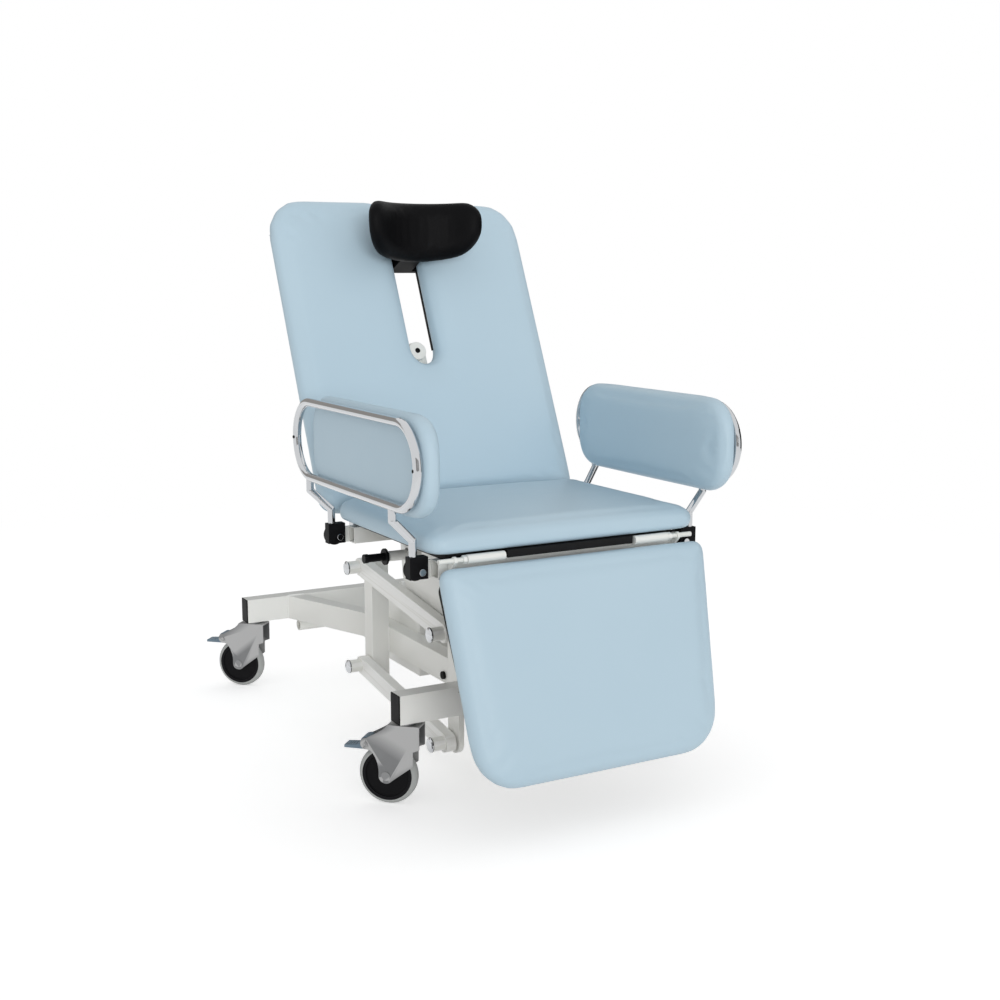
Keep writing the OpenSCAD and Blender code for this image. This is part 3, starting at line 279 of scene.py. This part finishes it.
# %% Plastics, rubber and board
black_plastic = finish_of("black_plastic", (tone(9, 9, 9), tone(14, 14, 15)), (0.38, 0.55), grain=1100,
                          height=0.00006, specular=0.06, worn=tone(30, 30, 32))
wheel_plastic = finish_of("wheel_plastic", (tone(13, 13, 14), tone(20, 20, 22)), (0.35, 0.5), grain=900,
                          height=0.00005, specular=0.08, worn=tone(40, 40, 43))
pedal_plastic = finish_of("pedal_plastic", (tone(84, 104, 120), tone(96, 116, 131)), (0.36, 0.5), grain=1000,
                          height=0.00006, worn=tone(132, 150, 163))
tyre_rubber = finish_of("tyre_rubber", (tone(168, 170, 168), tone(184, 186, 184)), (0.55, 0.75), drift=18, grain=1300,
                        height=0.00008, specular=0.35)
buffer_rubber = finish_of("buffer_rubber", (tone(24, 24, 24), tone(36, 36, 35)), (0.65, 0.85), drift=12, grain=1500,
                          height=0.0001, specular=0.15)
black_board = finish_of("black_board", (tone(22, 22, 23), tone(30, 30, 31)), (0.55, 0.75), drift=10, grain=800,
                        height=0.0001, cells=True, specular=0.15)
FINISHES = {m.name.split(".")[0]: m for m in (
    blue_vinyl, black_vinyl, white_frame, black_steel, chrome_steel, castor_steel, black_plastic, wheel_plastic,
    pedal_plastic, tyre_rubber, buffer_rubber, black_board)}

# %% Give each piece of the frame its finish
for name, piece in nodes.items():
    for place in piece.material_slots:
        slot_name = place.material.name.split(".")[0]
        if slot_name in FINISHES and place.material is not FINISHES[slot_name]:
            place.material = FINISHES[slot_name]
print("finishes", sorted({s.material.name for p in nodes.values() for s in p.material_slots}))

# %% [markdown]
# ## Soft edges on the steel and the plastic
# No real edge is perfectly sharp: paint and moulding round it by half a millimetre or more, and the light draws a thin
# line along it. The frame's meshes stay as they are. Live modifiers join their corners, melt the flat faces together,
# round the sharp edges and even out the shading, so nothing of the shape moves.

# %% Round the edges
JOIN_WITHIN, FLAT_WITHIN = 0.00003, math.radians(0.5)


def soften(name, width, angle=30):
    """Live modifiers that give a piece of the frame a rounded edge of that width."""
    piece = nodes[name]
    weld = piece.modifiers.new("join corners", "WELD")
    weld.merge_threshold = JOIN_WITHIN
    melt = piece.modifiers.new("melt flat faces", "DECIMATE")
    melt.decimate_type, melt.angle_limit = "DISSOLVE", FLAT_WITHIN
    edge = piece.modifiers.new("round edges", "BEVEL")
    edge.width, edge.segments, edge.limit_method = width, 2, "ANGLE"
    edge.angle_limit, edge.miter_outer = math.radians(angle), "MITER_ARC"
    edge.use_clamp_overlap = True
    even = piece.modifiers.new("even shading", "WEIGHTED_NORMAL")
    even.keep_sharp = False


EDGES = {0.0016: ["base_front_beam", "base_rear_beam", "base_rails", "base_posts", "lift_housing", "back_tubes"],
         0.0012: ["upper_arms", "lower_arms", "link_plates", "seat_frame", "arm_lugs", "head_bracket", "leg_straps"],
         0.0010: ["base_end_caps", "seat_board", "back_board", "leg_board", "head_slider", "release_lever",
                  "slot_liners", "slot_stop"],
         0.0022: ["arm_blocks_left", "arm_blocks_right"],
         0.0008: ["castor_sockets", "rail_buffers", "arm_bolts", "arm_washers", "back_pins", "knee_sleeves",
                  "base_pivot_rings", "link_rings", "base_under_tube", "link_tubes"]}
for corner in ("fl", "fr", "rl", "rr"):
    EDGES[0.0008] += [f"castor_{corner}_fork", f"castor_{corner}_wheel"]
    EDGES[0.0016] += [f"castor_{corner}_pedal"]
for width, names in EDGES.items():
    for name in names:
        soften(name, width)
print("pieces with rounded edges", sum(len(names) for names in EDGES.values()))

# %% [markdown]
# ## Cushions
# Each padded piece gets a cover of its own in the place of the plain solid: the solid's shape is divided into even
# cells, cut a millimetre or two smaller where it is soft, and blown up like a sewn bag around its foam. The side on
# the board stays put. The blow-up is capped, so that the cover stays clear of its neighbours and keeps its outline.

# %% Helpers for meshes
scene = bpy.context.scene


def baked(piece):
    """Turns a piece's modifiers into its mesh."""
    bpy.context.view_layer.update()
    mesh = bpy.data.meshes.new_from_object(piece.evaluated_get(bpy.context.evaluated_depsgraph_get()))
    piece.modifiers.clear()
    piece.data = mesh
    return mesh


def places(mesh, kind="co"):
    """The corners of a mesh, or their normals, as an array."""
    values = np.empty(len(mesh.vertices) * 3)
    (mesh.vertices.foreach_get("co", values) if kind == "co" else mesh.vertex_normals.foreach_get("vector", values))
    return values.reshape(-1, 3)


def moved(mesh, values):
    mesh.vertices.foreach_set("co", values.ravel())
    mesh.update()

# %% A cover over its foam
SINK_CAP, SLIDE_CAP = 0.001, 0.0015
PRESSURE, LAST_FRAME = 4.0, 20


def cover_of(node, name, body, firm, finish, cell, trim=0.0015, cap=0.0042, relax=3):
    """A cover in the place of a padded solid; firm points to the side that rests on the board.

    trim is how much smaller it starts, cap how far it may swell, and relax how often its cells are evened out."""
    work = bmesh.new()
    work.from_mesh(nodes[node].data)
    work.transform(nodes[node].matrix_world)
    bmesh.ops.remove_doubles(work, verts=work.verts, dist=JOIN_WITHIN)
    bmesh.ops.recalc_face_normals(work, faces=work.faces)
    mesh = bpy.data.meshes.new(name)
    work.to_mesh(mesh)
    work.free()
    cover = bpy.data.objects.new(name, mesh)
    scene.collection.objects.link(cover)
    even = cover.modifiers.new("even cells", "REMESH")
    even.mode, even.voxel_size = "VOXEL", cell
    smooth = cover.modifiers.new("relax", "SMOOTH")
    smooth.factor, smooth.iterations = 0.5, relax
    mesh = baked(cover)
    facing = places(mesh, "normal") @ np.array(firm)
    soft = np.clip((0.75 - facing) / 0.4, 0, 1)[:, None]
    start = places(mesh) - trim * soft * places(mesh, "normal")
    moved(mesh, start)
    outward = places(mesh, "normal")
    held = cover.vertex_groups.new(name="held")
    held.add([int(i) for i in np.nonzero(facing > 0.6)[0]], 1.0, "REPLACE")
    cloth = cover.modifiers.new("blown up", "CLOTH")
    rules = cloth.settings
    rules.quality, rules.mass, rules.air_damping = 6, 0.5, 2.0
    rules.tension_stiffness = rules.compression_stiffness = 80
    rules.shear_stiffness, rules.bending_stiffness = 20, 1.5
    rules.use_pressure, rules.uniform_pressure_force = True, PRESSURE
    rules.effector_weights.gravity = 0
    rules.vertex_group_mass = "held"
    cloth.collision_settings.use_collision = False
    cloth.point_cache.frame_start, cloth.point_cache.frame_end = 1, LAST_FRAME
    for step in range(1, LAST_FRAME + 1):
        scene.frame_set(step)
    mesh = baked(cover)
    scene.frame_set(1)
    gone = places(mesh) - start
    rise = np.sum(gone * outward, axis=1, keepdims=True)
    slide = gone - rise * outward
    far = np.linalg.norm(slide, axis=1, keepdims=True)
    drawn = SLIDE_CAP * np.tanh(far / 4 / SLIDE_CAP) / np.maximum(far, 1e-9)
    moved(mesh, start + outward * np.maximum(cap * np.tanh(rise / cap), -SINK_CAP) + slide * drawn)
    print(name, "blown up by", round(float(rise.max()) * 1000, 1), "mm at most before the cap")
    calm = cover.modifiers.new("calm", "SMOOTH")
    calm.factor, calm.iterations = 0.5, 6
    finer = cover.modifiers.new("finer", "SUBSURF")
    finer.levels = finer.render_levels = 1
    mesh = baked(cover)
    mesh.polygons.foreach_set("use_smooth", np.ones(len(mesh.polygons), bool))
    return dressed(cover, node, body, finish)


def dressed(cover, node, body, finish):
    """Hands a cover over to its body in the place of the solid."""
    cover.data.materials.clear()
    cover.data.materials.append(FINISHES[finish])
    cover.vertex_groups.clear()
    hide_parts(node)
    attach(cover, body)
    print(cover.name, len(cover.data.polygons), "faces")
    return cover

# %% Seat, backrest and leg cushions
RECLINE, LEG_LEAN, HEAD_LEAN = math.radians(24.6), math.radians(15), math.radians(4.6)
LARGE_CELL, ARM_CELL, HEAD_CELL = 0.006, 0.005, 0.004


def behind_lean(lean):
    """The way to the rear of a panel that leans back by this angle."""
    return 0, math.cos(lean), -math.sin(lean)


cover_of("seat_pad", "seat_cover", "carriage", (0, 0, -1), "blue_vinyl", LARGE_CELL)
cover_of("back_pad", "back_cover", "backrest", behind_lean(RECLINE), "blue_vinyl", LARGE_CELL)
cover_of("leg_pad", "leg_cover", "leg_section", behind_lean(LEG_LEAN), "blue_vinyl", LARGE_CELL)

# %% Headrest and arm cushions
cover_of("head_pad", "head_cover", "head_support", behind_lean(HEAD_LEAN), "black_vinyl", HEAD_CELL,
         trim=0.0, relax=20)
arm_cover_right = cover_of("arm_pad_right", "arm_cover_right", "armrest_right", (1, 0, 0), "blue_vinyl", ARM_CELL)
mirrored = arm_cover_right.data.copy()
mirrored.name = "arm_cover_left"
mirrored.transform(Matrix.Diagonal((-1, 1, 1, 1)))
mirrored.flip_normals()
arm_cover_left = bpy.data.objects.new("arm_cover_left", mirrored)
scene.collection.objects.link(arm_cover_left)
dressed(arm_cover_left, "arm_pad_left", "armrest_left", "blue_vinyl")

# %% [markdown]
# ## Small things that repeat
# Screws, weld beads, staples and grip ribs are grown by small Geometry Nodes trees. Each tree takes a mesh of guide
# points or lines, whose places are found by casting rays at the frame, and a few named sizes. Each run gives one plain
# mesh, which then rides with its body.

# %% Where a ray meets the frame
from mathutils.bvhtree import BVHTree

TREES = {}


def spot(node, start, towards):
    """The place and the outward normal where a ray from start first meets a piece of the frame."""
    if node not in TREES:
        piece = nodes[node]
        corners = [piece.matrix_world @ v.co for v in piece.data.vertices]
        TREES[node] = BVHTree.FromPolygons(corners, [tuple(p.vertices) for p in piece.data.polygons])
    towards = Vector(towards).normalized()
    place, normal, _, _ = TREES[node].ray_cast(Vector(start), towards)
    if place is None:
        return None
    return place, normal if normal.dot(towards) < 0 else -normal

# %% A small language for node trees
def new_tree(name, *inputs):
    """A Geometry Nodes group with named inputs; gives the group, its input node and its output node."""
    group = bpy.data.node_groups.new(name, "GeometryNodeTree")
    group.interface.new_socket("Geometry", in_out="INPUT", socket_type="NodeSocketGeometry")
    for label, kind, value in inputs:
        entry = group.interface.new_socket(label, in_out="INPUT", socket_type="NodeSocket" + kind)
        if value is not None:
            entry.default_value = value
    group.interface.new_socket("Geometry", in_out="OUTPUT", socket_type="NodeSocketGeometry")
    return group, group.nodes.new("NodeGroupInput"), group.nodes.new("NodeGroupOutput")


def put(group, kind, **wires):
    """Adds a node; each wire goes to the input of that name, as a value or from a socket."""
    node = group.nodes.new(kind)
    for label, value in wires.items():
        if label.startswith("_"):
            setattr(node, label[1:], value)
    for label, value in wires.items():
        if label.startswith("_"):
            continue
        socket = node.inputs[label.replace("__", " ")]
        if isinstance(value, bpy.types.NodeSocket):
            group.links.new(value, socket)
        else:
            socket.default_value = value
    return node


def grown(name, group, guides, body, finish, **values):
    """Runs a tree on guide points or lines and hands the mesh over to its body.

    guides is a list of (place, axis, along) points, or of lists of them that form lines."""
    lines = guides if isinstance(guides[0], list) else [[g] for g in guides]
    flat = [g for line in lines for g in line]
    edges, first = [], 0
    for line in lines:
        edges += [(first + i, first + i + 1) for i in range(len(line) - 1)]
        first += len(line)
    mesh = bpy.data.meshes.new(name)
    mesh.from_pydata([g[0] for g in flat], edges, [])
    for label, column in (("axis", 1), ("along", 2)):
        layer = mesh.attributes.new(label, "FLOAT_VECTOR", "POINT")
        layer.data.foreach_set("vector", [c for g in flat for c in (g[column] if len(g) > column else (1, 0, 0))])
    piece = bpy.data.objects.new(name, mesh)
    scene.collection.objects.link(piece)
    grow = piece.modifiers.new("grow", "NODES")
    grow.node_group = group
    values["Material"] = FINISHES[finish]
    for entry in group.interface.items_tree:
        if entry.item_type == "SOCKET" and entry.in_out == "INPUT" and entry.name in values:
            grow[entry.identifier] = values[entry.name]
    mesh = baked(piece)
    mesh.polygons.foreach_set("use_smooth", np.ones(len(mesh.polygons), bool))
    mesh.set_sharp_from_angle(angle=math.radians(35))
    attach(piece, body)
    print(name, len(flat), "guides", len(mesh.polygons), "faces")
    return piece

# %% The screw tree: a chamfered round head with a hexagon socket
def times(group, socket, factor):
    """A socket's value multiplied by a plain number."""
    product = group.nodes.new("ShaderNodeMath")
    product.operation = "MULTIPLY"
    group.links.new(socket, product.inputs[0])
    product.inputs[1].default_value = factor
    return product.outputs[0]


def finished(group, geometry, given, result):
    """Realizes the instances, paints them and hands them to the group's output."""
    whole = put(group, "GeometryNodeRealizeInstances", Geometry=geometry)
    painted = put(group, "GeometryNodeSetMaterial", Geometry=whole.outputs[0], Material=given.outputs["Material"])
    group.links.new(painted.outputs[0], result.inputs[0])


screws, given, result = new_tree("screw heads", ("Radius", "Float", 0.005), ("Height", "Float", 0.003),
                                 ("Socket", "Float", 0.0022), ("Material", "Material", None))
height = given.outputs["Height"]
drum = put(screws, "GeometryNodeMeshCylinder", Vertices=28, Radius=given.outputs["Radius"],
           Depth=times(screws, height, 1.2))
rise = put(screws, "GeometryNodeExtrudeMesh", Mesh=drum.outputs["Mesh"], Selection=drum.outputs["Top"])
screws.links.new(times(screws, height, 0.4), rise.inputs["Offset Scale"])
crown = put(screws, "GeometryNodeScaleElements", Geometry=rise.outputs["Mesh"], Selection=rise.outputs["Top"],
            Scale=0.78)
key = put(screws, "GeometryNodeMeshCylinder", Vertices=6, Radius=given.outputs["Socket"], Depth=height)
up = put(screws, "ShaderNodeCombineXYZ", Z=height)
raised = put(screws, "GeometryNodeTransform", Geometry=key.outputs["Mesh"], Translation=up.outputs[0])
cut = put(screws, "GeometryNodeMeshBoolean", _operation="DIFFERENCE")
screws.links.new(crown.outputs[0], cut.inputs[0])
screws.links.new(raised.outputs[0], cut.inputs[1])
axis = put(screws, "GeometryNodeInputNamedAttribute", _data_type="FLOAT_VECTOR", Name="axis")
stand = put(screws, "FunctionNodeAlignRotationToVector", _axis="Z", Vector=axis.outputs["Attribute"])
points = put(screws, "GeometryNodeMeshToPoints", Mesh=given.outputs["Geometry"])
each = put(screws, "GeometryNodeInstanceOnPoints", Points=points.outputs[0], Instance=cut.outputs["Mesh"],
           Rotation=stand.outputs[0])
finished(screws, each.outputs[0], given, result)

# %% The bead tree: overlapping drops along a line, like a weld
beads, given, result = new_tree("weld beads", ("Width", "Float", 0.003), ("Pitch", "Float", 0.0016),
                                ("Material", "Material", None), ("Seed", "Int", 3))
path = put(beads, "GeometryNodeMeshToCurve", Mesh=given.outputs["Geometry"])
even = put(beads, "GeometryNodeCurveToPoints", _mode="LENGTH", Curve=path.outputs[0], Length=given.outputs["Pitch"])
drop = put(beads, "GeometryNodeMeshIcoSphere", Radius=given.outputs["Width"], Subdivisions=2)
uneven = put(beads, "FunctionNodeRandomValue", _data_type="FLOAT_VECTOR", Seed=given.outputs["Seed"])
uneven.inputs["Min"].default_value = (0.85, 0.85, 0.7)
uneven.inputs["Max"].default_value = (1.05, 1.1, 1.0)
each = put(beads, "GeometryNodeInstanceOnPoints", Points=even.outputs["Points"], Instance=drop.outputs["Mesh"],
           Rotation=even.outputs["Rotation"], Scale=uneven.outputs["Value"])
finished(beads, each.outputs[0], given, result)

# %% The bar tree: rounded bars that stand across a line, for staples and grip ribs
bars, given, result = new_tree("bars", ("Size", "Vector", (0.01, 0.001, 0.001)), ("Turn", "Float", 0.1),
                               ("Material", "Material", None), ("Seed", "Int", 5))
bar = put(bars, "GeometryNodeMeshCylinder", Vertices=12, Radius=1.0, Depth=1.0)
flat = put(bars, "GeometryNodeTransform", Geometry=bar.outputs["Mesh"], Rotation=(0, math.pi / 2, 0))
sized = put(bars, "GeometryNodeTransform", Geometry=flat.outputs[0], Scale=given.outputs["Size"])
axis = put(bars, "GeometryNodeInputNamedAttribute", _data_type="FLOAT_VECTOR", Name="axis")
along = put(bars, "GeometryNodeInputNamedAttribute", _data_type="FLOAT_VECTOR", Name="along")
stand = put(bars, "FunctionNodeAlignRotationToVector", _axis="Z", Vector=axis.outputs["Attribute"])
lie = put(bars, "FunctionNodeAlignRotationToVector", _axis="X", _pivot_axis="Z", Rotation=stand.outputs[0],
          Vector=along.outputs["Attribute"])
least, most = times(bars, given.outputs["Turn"], -1.0), given.outputs["Turn"]
crooked = put(bars, "FunctionNodeRandomValue", _data_type="FLOAT", Seed=given.outputs["Seed"])
floats = [s for s in crooked.inputs if s.name in ("Min", "Max") and s.type == "VALUE"]
bars.links.new(least, floats[0])
bars.links.new(most, floats[1])
by = put(bars, "ShaderNodeCombineXYZ", Z=[s for s in crooked.outputs if s.type == "VALUE"][0])
wobble = put(bars, "FunctionNodeRotateRotation", _rotation_space="LOCAL", Rotation=lie.outputs[0],
             **{"Rotate__By": by.outputs[0]})
points = put(bars, "GeometryNodeMeshToPoints", Mesh=given.outputs["Geometry"])
each = put(bars, "GeometryNodeInstanceOnPoints", Points=points.outputs[0], Instance=sized.outputs[0],
           Rotation=wobble.outputs[0])
finished(bars, each.outputs[0], given, result)

# %% Screws
def facing(node, starts, towards):
    """Guides where rays meet a piece, square to its surface."""
    hits = [spot(node, start, towards) for start in starts]
    return [hit for hit in hits if hit]


BACK_UP = Vector((0, math.sin(RECLINE), math.cos(RECLINE)))
BACK_REAR = Vector(behind_lean(RECLINE))
LEG_UP = Vector((0, math.sin(LEG_LEAN), math.cos(LEG_LEAN)))
LEG_REAR = Vector(behind_lean(LEG_LEAN))


def middle(node):
    low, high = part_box(node)
    return (low + high) / 2


for side, sign in (("right", 1), ("left", -1)):
    loop, pad = f"arm_loop_{side}", middle(f"arm_pad_{side}")
    tube_x = max(abs(v) for v in (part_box(loop)[0].x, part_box(loop)[1].x)) - 0.009
    ends = [spot(loop, (sign * tube_x, way * 2, pad.z), (0, -way, 0)) for way in (-1, 1)]
    starts = [(sign, end[0].y - way * 0.011, pad.z) for end, way in zip(ends, (-1, 1)) if end]
    grown(f"arm_screws_{side}", screws, facing(loop, starts, (-sign, 0, 0)), f"armrest_{side}", "black_steel",
          Radius=0.0034, Height=0.0012, Socket=0.0016)

low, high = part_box("lift_housing")
corners = [(x, -2, z) for x in (low.x + 0.012, high.x - 0.012) for z in (low.z + 0.015, high.z - 0.015)]
grown("housing_screws", screws, facing("lift_housing", corners, (0, 1, 0)), "base", "chrome_steel",
      Radius=0.004, Height=0.0018, Socket=0.0018)
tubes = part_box("back_tubes")
wide = (tubes[1].x - tubes[0].x) / 2 - 0.012
behind = [middle("back_tubes") + s * BACK_UP + Vector((x, 0, 0)) + BACK_REAR for s in (-0.26, -0.02, 0.22)
          for x in (-wide, wide)]
grown("back_screws", screws, facing("back_tubes", behind, -BACK_REAR), "backrest", "chrome_steel",
      Radius=0.0065, Height=0.003, Socket=0.003)
STOP, BESIDE = Vector((0, 0.1492, 0.8950)), 0.012
face = spot("slot_stop", STOP + BESIDE * BACK_UP - 0.1 * BACK_REAR, BACK_REAR)
grown("stop_screw", screws, [(face[0] - BESIDE * BACK_UP, face[1])], "backrest", "black_steel",
      Radius=0.0062, Height=0.0022, Socket=0.0030)

# %% A painted sleeve on the release lever
def sleeve(name, start, end, radius, body, finish, sides=48, rim=0.001):
    """A round sleeve with softened rims between two points on a line along X."""
    work = bmesh.new()
    rings = []
    for x, r in ((start[0], radius - rim), (start[0] + rim, radius), (end[0] - rim, radius), (end[0], radius - rim)):
        rings.append([work.verts.new((x, start[1] + r * math.cos(a), start[2] + r * math.sin(a)))
                      for a in [2 * math.pi * i / sides for i in range(sides)]])
    for one, two in zip(rings, rings[1:]):
        for i in range(sides):
            work.faces.new((one[i], one[(i + 1) % sides], two[(i + 1) % sides], two[i]))
    work.faces.new(rings[0])
    work.faces.new(rings[-1])
    bmesh.ops.recalc_face_normals(work, faces=work.faces)
    mesh = bpy.data.meshes.new(name)
    work.to_mesh(mesh)
    work.free()
    mesh.polygons.foreach_set("use_smooth", np.ones(len(mesh.polygons), bool))
    mesh.set_sharp_from_angle(angle=math.radians(35))
    piece = bpy.data.objects.new(name, mesh)
    scene.collection.objects.link(piece)
    mesh.materials.append(FINISHES[finish])
    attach(piece, body)
    return piece


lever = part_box("release_lever")
axis = (lever[0] + lever[1]) / 2
sleeve("lever_sleeve", (-0.243, axis.y, 0.489), (-0.200, axis.y, 0.489), 0.0109, "release_lever", "white_frame")
print("lever sleeve along y", round(axis.y, 4))
# %% Weld beads
UP = (0, 0, 1)
seams = []
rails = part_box("base_rails")
for sign in (1, -1):
    foot = [spot("base_posts", (sign * 0.108, way, (rails[0].z + rails[1].z) / 2), (0, -way, 0)) for way in (-1, 1)]
    low, high = rails[0].z + 0.003, rails[1].z
    for end, way in zip(foot, (-1, 1)):
        flank = spot("base_rails", (sign * 0.3, end[0].y + way * 0.002, low), (-sign, 0, 0))
        x = flank[0].x
        seams.append([(Vector((x, end[0].y, z)), UP) for z in (low, high)])
    seams.append([(Vector((x, end[0].y, high)), UP) for end in foot])
    for beam, way in (("base_front_beam", 1), ("base_rear_beam", -1)):
        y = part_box(beam)[1 if way > 0 else 0].y + way * 0.001
        inner = spot("base_rails", (0, y + way * 0.001, low), (sign, 0, 0))
        outer = spot("base_rails", (sign, y + way * 0.001, low), (-sign, 0, 0))
        if inner and outer:
            seams.append([(Vector((v, y, z)), UP) for v, z in ((inner[0].x, low), (inner[0].x, high),
                                                               (outer[0].x, high), (outer[0].x, low))])
grown("base_welds", beads, seams, "base", "white_frame", Width=0.0026, Pitch=0.0021)

# %% Staples round the boards
def staples(board, rear, up, half_wide, half_tall, pitch=0.034, inset=0.011):
    """Guides a little inside the edge of a board, found by rays from its sides and then from behind."""
    centre, across, found = middle(board), Vector((1, 0, 0)), []
    for out, along, far in ((across, up, half_tall), (-across, up, half_tall), (up, across, half_wide),
                            (-up, across, half_wide)):
        for i in range(-int(far / pitch), int(far / pitch) + 1):
            edge = spot(board, centre + out + along * (i * pitch), -out)
            if edge:
                guide = spot(board, edge[0] - out * inset + rear * 0.3, -rear)
                if guide and guide[1].dot(rear) > 0.9:
                    found.append((guide[0], guide[1], along))
    return found


SEAT_REAR, SEAT_UP = Vector((0, 0, -1)), Vector((0, 1, 0))
for name, board, body, rear, up in (("seat_staples", "seat_board", "carriage", SEAT_REAR, SEAT_UP),
                                    ("back_staples", "back_board", "backrest", BACK_REAR, BACK_UP),
                                    ("leg_staples", "leg_board", "leg_section", LEG_REAR, LEG_UP)):
    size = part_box(board)[1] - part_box(board)[0]
    guides = staples(board, rear, up, size.x / 2, (size.y if board == "seat_board" else size.z) / 2)
    grown(name, bars, guides, body, "chrome_steel", Size=(0.010, 0.0005, 0.0006), Turn=0.14, Seed=11)

# %% Grip ribs on the brake pedals
TRAIL, STEM_X = math.radians(44), 0.274
RIBS_AT = (0.1085, 0.1135, 0.1185, 0.1235)
for corner in ("fl", "fr", "rl", "rr"):
    sign = -1 if corner.endswith("l") else 1
    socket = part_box("base_front_beam" if corner[0] == "f" else "base_rear_beam")
    stem = Vector((sign * STEM_X, (socket[0].y + socket[1].y) / 2, 0))
    trail = Vector((sign * math.cos(TRAIL), math.sin(TRAIL), 0))
    cross = trail.cross(Vector(UP))
    pedal = f"castor_{corner}_pedal"
    guides = []
    for reach in RIBS_AT:
        top = spot(pedal, stem + trail * reach + Vector((0, 0, 0.4)), (0, 0, -1))
        if top:
            guides.append((top[0], UP, cross))
    grown(f"pedal_ribs_{corner}", bars, guides, f"pedal_{corner}", "pedal_plastic", Size=(0.024, 0.0011, 0.0009),
          Turn=0.0)

# %% Finish
bpy.context.view_layer.update()
